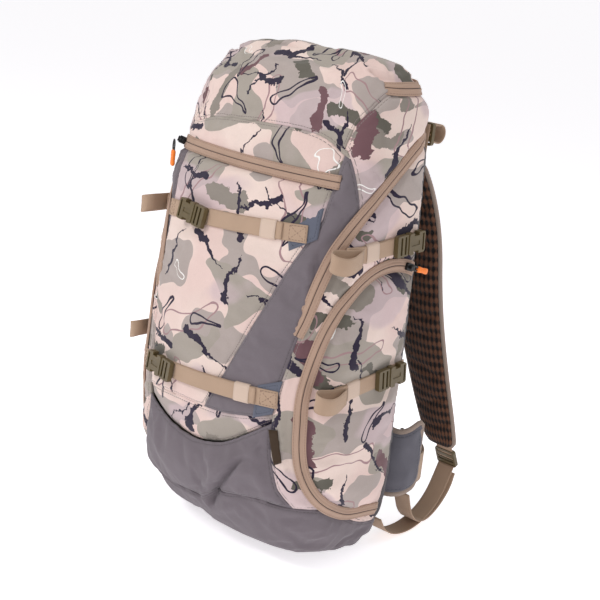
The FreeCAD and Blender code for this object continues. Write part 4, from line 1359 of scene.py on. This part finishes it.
def half_tape(name, line, side, body, nodes):
    """The half of a zip's tape on one side of its line, with its half of the coil."""
    profile = [(a * side, b) for a, b in TAPE_PROFILE]
    made = paint_on(sweep(name, *line, profile), "tape")
    return ride_and_replace(made, body, nodes)


def main_zip_line(skin, side):
    """Up the side of the bag and across its back to the middle."""
    up = skin.side([(y, z) for y, z in MAIN_ZIP[1:-1]], side)
    height = MAIN_ZIP[-1][1]
    end = up[0][-1]
    angle = math.degrees(math.atan2(end[0], AXIS_Y - end[1]))
    across = skin.round((angle, height), (side * 180.0, height))
    return [np.vstack([a, b[1:]]) for a, b in zip(up, across)]


def build_zips(skin):
    """The tapes of every zip, in halves."""
    side_path = [point for point in side_zip_path() if point[0] < 0.08]
    for word, side in SIDES[::-1]:
        line = main_zip_line(skin, side)
        half_tape(f"main_zip_tape_lower_{word}", line, -side, "pack", ["main_zip_tape_lower"])
        half_tape(f"main_zip_tape_upper_{word}", line, side, "flap", ["main_zip_tape_upper"])
        around = skin.side(side_path, side)
        for edge, label in ((1, "inner"), (-1, "outer")):
            half_tape(f"side_zip_tape_{word}_{label}", around, edge, "pack", ["side_zip_tapes"])
    front = skin.round((-72.5, FRONT_ZIP), (68.0, FRONT_ZIP))
    lid = skin.round((92.0, LID_ZIP), (268.0, LID_ZIP))
    for edge, word in ((1, "upper"), (-1, "lower")):
        half_tape(f"front_zip_tape_{word}", front, edge, "flap", ["front_zip_tape"])
        half_tape(f"lid_zip_tape_{word}", lid, edge, "flap", ["lid_zip_tape"])


# ------------------------------------------------------------------ straps on the bag

KEEPER_OUT = STRAP_OUT + 2 * STRAP_THICK + 0.0010   # a keeper arches over two layers of webbing
KEEPER_ARCH = [(-1.14, -0.0004), (-1.10, 0.55), (-0.99, 0.97), (-0.5, 1.04), (0.0, 1.06),
               (0.5, 1.04), (0.99, 0.97), (1.10, 0.55), (1.14, -0.0004)]


def strap_piece(name, line, half, body, nodes, thick=STRAP_THICK, outset=STRAP_OUT):
    """Webbing that lies along a line on the bag, not quite flat."""
    wobble = lumps(line[0], 0.03, 2) * 0.0003
    points = line[0] + line[1] * (wobble + outset)[:, None]
    webbing_piece(name, points, line[1], half, body, nodes, thick)


def keeper(name, line, share, body, nodes, reach=0.0105):
    """An elastic band that arches over a strap."""
    points, normals = line
    spot = int(share * (len(points) - 1))
    tangents, outward, side = frames_along(points, normals)
    path = even(np.array([points[spot] + side[spot] * WEBBING * a + outward[spot] * KEEPER_OUT * b
                          for a, b in KEEPER_ARCH]), 0.0015)
    made = sweep(name, path, plane_normals(path, -tangents[spot]), webbing_profile(reach, 0.0010))
    ride_and_replace(paint_on(made, "keeper"), body, nodes)


def build_front_straps(lines):
    """The two straps across the front, each with its spare end, keeper and sewn ends."""
    top = STRAP_OUT + STRAP_THICK * 1.08
    for name, strap in FRONT_STRAPS.items():
        line = lines[f"front_{name}"]
        body = "flap" if name == "upper" else "pack"
        label = f"front_strap_{name}"
        strap_piece(label, line, WEBBING, body, [label])
        first = share_at(line, 0, strap["mouth"] + 0.010)
        fold = clip_line(line, first, share_at(line, 0, strap["keeper"] + 0.017))
        ramp = soft_step(np.arange(len(fold[0])), 0, 5)
        over = fold[0] + fold[1] * (ramp * 0.0019)[:, None]
        strap_piece(f"{label}_tail", (over, fold[1]), WEBBING - 0.0004, body, [])
        keeper(f"front_keeper_{name}", line, share_at(line, 0, strap["keeper"]), body,
               ["strap_keepers"] if name == "lower" else [])
        left_end = (line[0][::-1], line[1][::-1])
        rows = box_stitch(line, 0.020, top) + box_stitch(left_end, 0.010, top)
        stitches(f"{label}_stitches", rows, body)


def tail_loop_path(side, edge, height):
    """Plan of a loop of spare webbing at a side strap's front end, standing off the corner."""
    plan = [(0.0026, -0.046), (0.0020, -0.062), (0.0000, -0.078), (-0.0040, -0.090),
            (0.0010, -0.099), (0.0095, -0.098), (0.0155, -0.088), (0.0150, -0.074),
            (0.0100, -0.060), (0.0060, -0.049)]
    return np.array([(side * (edge + a), y, height - a * 0.35) for a, y in plan])


def build_side_straps(lines):
    """The four straps on the sides, each with its spare end, keeper, tail loop and sewn end."""
    for name, strap in SIDE_STRAPS.items():
        for word, side in SIDES:
            line = lines[f"side_{name}_{word}"]
            label = f"side_strap_{name}_{word}"
            strap_piece(label, line, WEBBING, "pack", ["side_straps"])
            fold = clip_line(line, 0.0, share_at(line, 1, strap["mouth"] - 0.010))
            strap_piece(f"{label}_tail", lift(fold, 0.0018), WEBBING - 0.0004, "pack", [])
            keeper(f"side_keeper_{name}_{word}", line, share_at(line, 1, strap["keeper"]), "pack",
                   ["strap_keepers"])
            edge = abs(line[0][len(line[0]) // 2, 0])
            loop = even(tail_loop_path(side, edge, strap["front"][1]), 0.0025)
            webbing_piece(f"{label}_loop", loop, plane_normals(loop, (0, 0, side)), WEBBING,
                          "pack", ["side_straps"])
            stitches(f"{label}_stitches", box_stitch(line, 0.010, STRAP_OUT + 0.0017), "pack")


def patch(name, skin, corners, colour, body, outset, thick=0.0012):
    """A flat piece sewn on the front; corners are (x, z) in order round it."""
    first, second, third, fourth = np.array(corners, float)
    rows = []
    for s in np.linspace(0, 1, 12):
        left, right = first * (1 - s) + fourth * s, second * (1 - s) + third * s
        hits = [skin.cast((x, -0.4, z), (0, 1, 0))
                for x, z in (left * (1 - t) + right * t for t in np.linspace(0, 1, 12))]
        rows.append([place + normal * outset for place, normal in hits])
    made = paint_on(sheet(name, rows), colour)
    set_attribute(made, "seam", distances(points_of(made), border_points(made)))
    solidify(made, thick)
    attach(made, body)


# ------------------------------------------------------------------ padded pieces

# Centre line of the right shoulder strap: x, y, z and width.
SHOULDER = [(0.088, 0.080, 0.481, 0.064), (0.092, 0.103, 0.440, 0.068), (0.093, 0.126, 0.385, 0.068),
            (0.093, 0.141, 0.320, 0.066), (0.096, 0.156, 0.262, 0.064), (0.102, 0.178, 0.195, 0.058),
            (0.109, 0.196, 0.140, 0.052), (0.115, 0.208, 0.102, 0.042)]
# Right hip wing from its root out: x, y, height of its foot and height of its top.
HIP_WING = [(0.095, 0.086, 0.068, 0.158), (0.112, 0.0865, 0.066, 0.153), (0.124, 0.088, 0.066, 0.149),
            (0.134, 0.092, 0.067, 0.148), (0.141, 0.099, 0.070, 0.152), (0.145, 0.109, 0.075, 0.160),
            (0.147, 0.118, 0.082, 0.165)]
# Side view (y, z) of the webbing from the bag's foot to a shoulder strap's lock, and its spare end.
LOWER_WEBBING = [(0.0785, 0.034), (0.092, 0.014), (0.118, 0.0035), (0.152, 0.0045), (0.184, 0.018),
                 (0.203, 0.037), (0.213, 0.056), (0.2195, 0.069), (0.2215, 0.0735)]
LOCK_TAB = [(0.2015, 0.122), (0.2075, 0.105), (0.2125, 0.093), (0.2165, 0.084)]
LOWER_TAIL = [(0.2245, 0.0635), (0.2195, 0.046), (0.202, 0.026), (0.176, 0.012), (0.154, 0.014),
              (0.139, 0.027), (0.130, 0.044), (0.123, 0.060)]
LOWER_WEBBING_X = 0.119
# Side view (y, z) of a load lifter's webbing below its lock, and of its spare end.
LIFTER_ANCHOR = [(0.0735, 0.487), (0.0738, 0.502), (0.0752, 0.526)]
LIFTER_TAIL = [(0.084, 0.505), (0.098, 0.501), (0.108, 0.512), (0.102, 0.526), (0.0845, 0.5245)]
LIFTER_X = 0.117
# Plan (x, y) of the right hip strap, and front view (x, z) of the haul loop.
HIP_STRAP = [(0.147, 0.1195), (0.143, 0.134), (0.130, 0.150), (0.110, 0.165), (0.090, 0.175)]
HIP_STRAP_MIDDLE = 0.099
HAUL_ARCH = [(-0.038, 0.453), (-0.034, 0.470), (-0.022, 0.4785), (0.022, 0.4785), (0.034, 0.470),
             (0.038, 0.453)]
HAUL_Y = 0.084
STERNUM = {"y": 0.1418, "z": 0.325, "inner": 0.008, "outer": 0.0592}


def pad_rings(middles, across, outward, halves, outer, inner, round_end):
    """Rings of a pad's skin, thin at its sewn edges and fullest down its middle."""
    gaps = lengths_along(middles)
    to_end = np.minimum(gaps, gaps[-1] - gaps)
    ends = np.sqrt(1 - (1 - np.clip(to_end / round_end, 0, 1)) ** 2)
    shares = np.sin(np.linspace(-math.pi / 2, math.pi / 2, 19))
    fullness = (1 - np.abs(shares) ** 3.0) ** 0.6
    rings = []
    for i, middle in enumerate(middles):
        width = halves[i] * (0.55 + 0.45 * ends[i])
        thick = 0.16 + 0.84 * fullness * (0.15 + 0.85 * ends[i])
        top = [middle + across[i] * s * width + outward[i] * outer * f
               for s, f in zip(shares, thick)]
        foot = [middle + across[i] * s * width - outward[i] * inner * f
                for s, f in zip(shares, thick)]
        rings.append(top + foot[::-1][1:-1])
    return np.array(rings), shares


def bind_edge(name, rings, count, outward, colour, body):
    """A round binding sewn over the edge of a pad."""
    left, right = rings[:, 0], rings[:, count - 1]
    outline = np.vstack([left[1:-1], right[1:-1][::-1]])
    facing = np.vstack([outward[1:-1], outward[1:-1][::-1]])
    bound = [(0.0036 * math.cos(turn), 0.0026 * math.sin(turn))
             for turn in np.linspace(0, 2 * math.pi, 14, endpoint=False)]
    made = sweep(f"{name}_binding", outline, facing, bound, closed=True)
    ride_and_replace(paint_on(made, colour), body, [])


def build_pad(name, middles, across, outward, halves, depths, materials, choose, body, nodes,
              edge="binding", round_end=0.014):
    """A padded piece: two faces sewn together round the edge, filled out as cloth, and bound.

    halves are its half widths, depths how far its two faces stand off its middle, and choose
    gives the number of a face's material."""
    rings, shares = pad_rings(middles, across, outward, halves, *depths, round_end)
    count, size = len(shares), rings.shape[1]
    wide = float(np.max(halves))
    around = np.concatenate([shares, shares[::-1][1:-1]])
    gaps = lengths_along(middles)
    made = paint_on(ring_mesh(name, rings, around * wide, gaps), *materials)
    points = points_of(made)
    index = np.arange(len(points)) % size
    row = np.arange(len(points)) // size
    to_end = np.minimum(gaps[row], gaps[-1] - gaps[row])
    edge_gap = np.minimum(wide * (1 - np.abs(around[index])), to_end)
    made.data.update()
    normals = normals_of(made)
    wrinkle = lumps(points, 0.020, 3) * 0.0006 + lumps(points * (1, 1, 0.4), 0.05, 7) * 0.0006
    set_points(made, points + normals * (wrinkle * soft_step(edge_gap, 0.002, 0.012))[:, None])
    shaped = points_of(made)
    moved = simulate(made, edge_gap < 0.003, 4.0, 0.020)
    length = np.linalg.norm(moved, axis=1)[:, None] + 1e-9
    set_points(made, shaped + moved * np.minimum(length, 0.0016) / length)
    set_attribute(made, "seam", np.maximum(edge_gap - 0.0035, 0.0))
    for polygon in made.data.polygons:
        outer_face = all(index[corner] < count for corner in polygon.vertices)
        polygon.material_index = choose(outer_face, polygon.center)
    ride_and_replace(made, body, nodes)
    bind_edge(name, rings, count, outward, edge, body)


def build_shoulder_straps():
    path = even(SHOULDER, 0.0045)
    across = repeated((1, 0, 0), len(path))

    def choose(outer_face, centre):
        if not outer_face:
            return 0
        return 1 if centre.z > 0.30 else 2

    for word, side in SIDES:
        middles = path[:, :3] * (side, 1, 1)
        outward = np.cross(across, unit(np.gradient(middles, axis=0)))
        outward = unit(outward * np.sign(outward[:, 1])[:, None])
        body = f"shoulder_{word}"
        build_pad(f"shoulder_strap_{word}", middles, across, outward, path[:, 3] / 2,
                  (0.0065, 0.0065), ("mesh", "camo_lid", "grey"), choose, body,
                  [f"shoulder_strap_{word}"])
        above_lock = path[:, 2] > 0.135
        facing = outward[above_lock]
        line = (middles[above_lock] + facing * 0.0068, facing)
        strap_piece(f"shoulder_rail_{word}", line, 0.0100, body, [], thick=0.0013, outset=0.0)


def build_hip_wings():
    path = even(HIP_WING, 0.004)
    across = repeated((0, 0, 1), len(path))
    for word, side in SIDES:
        plan = path[:, :2] * (side, 1)
        middles = np.column_stack([plan, (path[:, 2] + path[:, 3]) / 2])
        tangents = np.gradient(np.column_stack([plan, np.zeros(len(plan))]), axis=0)
        outward = unit(np.cross(tangents, (0, 0, side)))
        build_pad(f"hip_wing_{word}", middles, across, outward, (path[:, 3] - path[:, 2]) / 2,
                  (0.0055, 0.0055), ("mesh", "wing"), lambda outer_face, centre: int(outer_face),
                  f"hip_{word}", [f"hip_wing_{word}"], round_end=0.010)


def build_back_pad(name, middles, across, half, depths):
    count = len(middles)
    build_pad(name, middles, repeated(across, count), repeated((0, 1, 0), count),
              np.full(count, half), depths, ("mesh", "mesh"), lambda outer_face, centre: 0,
              "pack", ["back_pads"], edge="back")


def build_back_pads():
    heights = np.arange(0.134, 0.4265, 0.0045)
    ones = np.ones(len(heights))
    for word, side in SIDES:
        middles = np.column_stack([ones * side * 0.0345, ones * 0.0745, heights])
        build_back_pad(f"back_pad_{word}", middles, (1, 0, 0), 0.0225, (0.0125, 0.002))
    reach = np.arange(-0.089, 0.0895, 0.0045)
    ones = np.ones(len(reach))
    middles = np.column_stack([reach, ones * 0.0785, ones * 0.093])
    build_back_pad("lumbar_pad", middles, (0, 0, 1), 0.0305, (0.0125, 0.004))


# ------------------------------------------------------------------ loose webbing

def upright_path(path, x, drift=0.0):
    """Points and normals of a path given in side view, (y, z), at one x or drifting away from it."""
    flat = even(path, 0.003)
    points = np.column_stack([x + drift * np.linspace(0, 1, len(flat)) ** 2, flat])
    return points, plane_normals(points, (1, 0, 0))


def build_lower_webbing(word, side):
    """The slack webbing from the bag's foot up to a shoulder strap, and the ends at its lock."""
    shoulder = f"shoulder_{word}"
    x = side * LOWER_WEBBING_X
    profile = webbing_profile(HARNESS_WEBBING, STRAP_THICK)
    made = paint_on(sweep(f"lower_webbing_{word}", *upright_path(LOWER_WEBBING, x), profile),
                    "webbing")
    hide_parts("lower_webbing")
    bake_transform(made)
    webbing_piece(f"lower_tail_{word}", *upright_path(LOWER_TAIL, x, side * 0.006),
                  HARNESS_WEBBING, shoulder, [])
    webbing_piece(f"lock_tab_{word}", *upright_path(LOCK_TAB, x), HARNESS_WEBBING, shoulder, [])


def build_loose_webbing():
    for word, side in SIDES:
        build_lower_webbing(word, side)
        for label, path in (("anchor", LIFTER_ANCHOR), ("tail", LIFTER_TAIL)):
            webbing_piece(f"load_lifter_{label}_{word}", *upright_path(path, side * LIFTER_X),
                          HARNESS_WEBBING, "pack", ["load_lifter_straps"])
        plan = even(HIP_STRAP, 0.003)
        points = np.column_stack([plan[:, 0] * side, plan[:, 1],
                                  np.full(len(plan), HIP_STRAP_MIDDLE)])
        webbing_piece(f"hip_strap_{word}", points, plane_normals(points, (0, 0, side)),
                      HIP_WEBBING, f"hip_{word}", [f"hip_strap_{word}"])
        reach = np.linspace(STERNUM["inner"], STERNUM["outer"], 16)
        points = np.column_stack([reach * side, np.full(16, STERNUM["y"]),
                                  np.full(16, STERNUM["z"])])
        webbing_piece(f"sternum_strap_{word}", points, repeated((0, 1, 0), 16), WEBBING - 0.0003,
                      f"shoulder_{word}", [f"sternum_strap_{word}"], outset=-0.0006)
    arch = even(HAUL_ARCH, 0.003)
    points = np.column_stack([arch[:, 0], np.full(len(arch), HAUL_Y), arch[:, 1]])
    webbing_piece("haul_loop", points, plane_normals(points, (0, 1, 0)), 0.0108, "haul_loop",
                  ["haul_loop"], thick=0.0024)


# ------------------------------------------------------------------ zip pulls

def rounded_ring(middle, side, wide, outward, tall, turns):
    """A ring with a section between an ellipse and a rectangle."""
    def bulge(value):
        return np.sign(value) * abs(value) ** 0.6

    return [middle + side * wide * bulge(math.cos(turn)) + outward * tall * bulge(math.sin(turn))
            for turn in turns]


def build_pull(node, pivot, way, outward):
    """A cord through the slider's bail and a moulded grip on it."""
    way, outward = np.array(way, float), np.array(outward, float)
    side = np.cross(outward, way)
    turns = np.linspace(0, 2 * math.pi, 40, endpoint=False)
    loop = np.array([pivot + way * (0.0062 - 0.0074 * math.cos(turn))
                     + side * 0.0024 * math.sin(turn) for turn in turns])
    round_cord = [(0.0009 * math.cos(turn), 0.0009 * math.sin(turn)) for turn in turns[::4]]
    cord = sweep(f"{node}_cord", loop, repeated(outward, 40), round_cord, closed=True)
    ride_and_replace(paint_on(cord, "cord"), node, [node])
    rings = []
    for share in np.linspace(0, 1, 24):
        end = (1 - abs(2 * share - 1) ** 5) ** 0.5
        groove = 1 - 0.10 * max(0.0, math.sin(share * 31.4)) * (0.25 < share < 0.75)
        wide = 0.0040 * (0.35 + 0.65 * end) * (0.88 + 0.12 * math.cos(share * 6.28))
        tall = 0.0023 * (0.30 + 0.70 * end) * groove
        middle = pivot + way * (0.0110 + 0.0200 * share)
        rings.append(rounded_ring(middle, side, wide, outward, tall, turns))
    grip = ring_mesh(f"{node}_grip", np.array(rings), turns * 0.003, np.linspace(0, 0.02, 24))
    ride_and_replace(paint_on(grip, "grip"), node, [])


def build_pulls(skin):
    sweep_angle = math.radians(SIDE_ZIP_ARC["first"] - 5)
    for word, side in SIDES:
        node = f"side_pull_{word}"
        low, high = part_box(node)
        pivot = np.array([(low.x + high.x) / 2,
                          SIDE_ZIP_ARC["y"] + SIDE_ZIP_ARC["radius"] * math.sin(sweep_angle),
                          SIDE_ZIP_ARC["z"] + SIDE_ZIP_ARC["radius"] * math.cos(sweep_angle)])
        way = (0, math.cos(sweep_angle), -math.sin(sweep_angle))
        build_pull(node, pivot, way, (side, 0, 0))
    low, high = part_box("front_pull")
    middle = (low + high) / 2
    _, normal = skin.towards_axis(math.atan2(middle.x, AXIS_Y - middle.y), FRONT_ZIP)
    outward = np.array((normal[0], normal[1], 0.0))
    build_pull("front_pull", np.array((middle.x, middle.y, FRONT_ZIP)), (0, 0, -1),
               outward / np.linalg.norm(outward))


# ------------------------------------------------------------------ the scene

def dress_frame():
    """Finishes for the CAD nodes that stay in view."""
    hard = {"frame_sheet": "sheet", "frame_stays": "stay", "lid_pocket_floor": "lining"}
    for name in ("front_plug", "side_plug", "front_socket", "strap_sockets", "sternum_socket",
                 "sternum_plug", "hip_plug", "hip_socket", "shoulder_lock", "load_lifter_locks"):
        hard[name] = "buckle"
    for name in ("front_slider", "side_slider"):
        hard[name] = "metal"
    hard.update(main_slider="main_slider", lid_slider="lid_slider")
    for node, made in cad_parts.items():
        for start, colour in hard.items():
            if node.startswith(start):
                paint_on(made, colour)


def build_floor():
    """A pale floor wide enough to reach the horizon."""
    bpy.ops.mesh.primitive_plane_add(size=60.0, location=(0, 0, 0))
    floor = bpy.context.object
    floor.name = "floor"
    surface = bpy.data.materials.new("floor")
    surface.use_nodes = True
    shader = surface.node_tree.nodes["Principled BSDF"]
    shader.inputs["Base Color"].default_value = (0.90, 0.89, 0.92, 1)
    shader.inputs["Roughness"].default_value = 0.9
    shader.inputs["Emission Color"].default_value = (1.0, 0.985, 1.0, 1)
    shader.inputs["Emission Strength"].default_value = 0.62
    floor.data.materials.append(surface)
    return floor


def build_world():
    """White behind the object, and a dimmer white as light on it."""
    world = bpy.data.worlds.new("studio")
    bpy.context.scene.world = world
    world.use_nodes = True
    background = world.node_tree.nodes["Background"]
    background.inputs["Color"].default_value = (1.0, 1.0, 1.0, 1)
    rays = world.node_tree.nodes.new("ShaderNodeLightPath")
    seen = Value(world.node_tree, rays.outputs["Is Camera Ray"])
    connect(world.node_tree, background.inputs["Strength"], seen * 0.62 + 0.38)


def build_stage():
    build_world()
    lamps = [("key", (-0.9, -1.5, 2.0), 0.9, 27), ("fill", (1.9, -1.0, 1.2), 1.4, 9),
             ("top", (0.2, 0.3, 2.2), 1.4, 9), ("back", (0.6, 2.0, 1.2), 1.2, 6)]
    made = [build_floor()]
    for name, place, size, power in lamps:
        lamp = bpy.data.lights.new(name, "AREA")
        lamp.size = size
        lamp.energy = power
        holder = bpy.data.objects.new(name, lamp)
        holder.location = place
        aim = Vector((0, 0, 0.28)) - Vector(place)
        holder.rotation_euler = aim.to_track_quat("-Z", "Y").to_euler()
        bpy.context.scene.collection.objects.link(holder)
        made.append(holder)
    bpy.context.scene.view_settings.view_transform = "Standard"


CAMERA = {"azimuth": 41.0, "elevation": 15.0, "roll": 6.5, "distance": 1.7, "lens": 85.0,
          "target": (0.019, 0.010, 0.296)}


def build_camera():
    """The camera at the photograph's viewing angle, rolled a little as the photograph is."""
    turn, rise = math.radians(CAMERA["azimuth"]), math.radians(CAMERA["elevation"])
    roll = math.radians(CAMERA["roll"])
    back = Vector((math.sin(turn) * math.cos(rise), -math.cos(turn) * math.cos(rise),
                   math.sin(rise)))
    right = Vector((math.cos(turn), math.sin(turn), 0))
    up = back.cross(right)
    across = right * math.cos(roll) + up * math.sin(roll)
    above = up * math.cos(roll) - right * math.sin(roll)
    lens = bpy.data.cameras.new("camera")
    lens.lens = CAMERA["lens"]
    lens.sensor_width = 36
    camera = bpy.data.objects.new("camera", lens)
    camera.matrix_world = Matrix((
        (across.x, above.x, back.x, 0), (across.y, above.y, back.y, 0),
        (across.z, above.z, back.z, 0), (0, 0, 0, 1)))
    camera.location = Vector(CAMERA["target"]) + back * CAMERA["distance"]
    bpy.context.scene.collection.objects.link(camera)
    bpy.context.scene.camera = camera


def build_bag():
    """The skin, cut into panels, and everything that lies on it."""
    mesh = build_skin()
    skin = Skin(mesh)
    lines = strap_lines(skin)
    pressed = [point for places, _ in lines.values() for point in places]
    cut_panels(mesh)
    build_panels(mesh, tree_of(pressed))
    mesh.free()
    build_zips(skin)
    build_front_straps(lines)
    build_side_straps(lines)
    patch("patch_upper", skin, [(0.075, 0.418), (0.115, 0.436), (0.116, 0.402), (0.086, 0.383)],
          "slate", "flap", 0.0011)
    patch("patch_lower", skin, [(0.079, 0.228), (0.108, 0.240), (0.102, 0.200), (0.078, 0.189)],
          "slate", "pack", 0.0011)
    patch("seam_tab", skin, [(0.101, 0.182), (0.111, 0.184), (0.117, 0.146), (0.109, 0.141)],
          "tab", "pack", 0.0042, 0.0016)
    build_pulls(skin)


build_bag()
build_front_wall()
build_shoulder_straps()
build_hip_wings()
build_back_pads()
build_loose_webbing()
dress_frame()
build_stage()
build_camera()
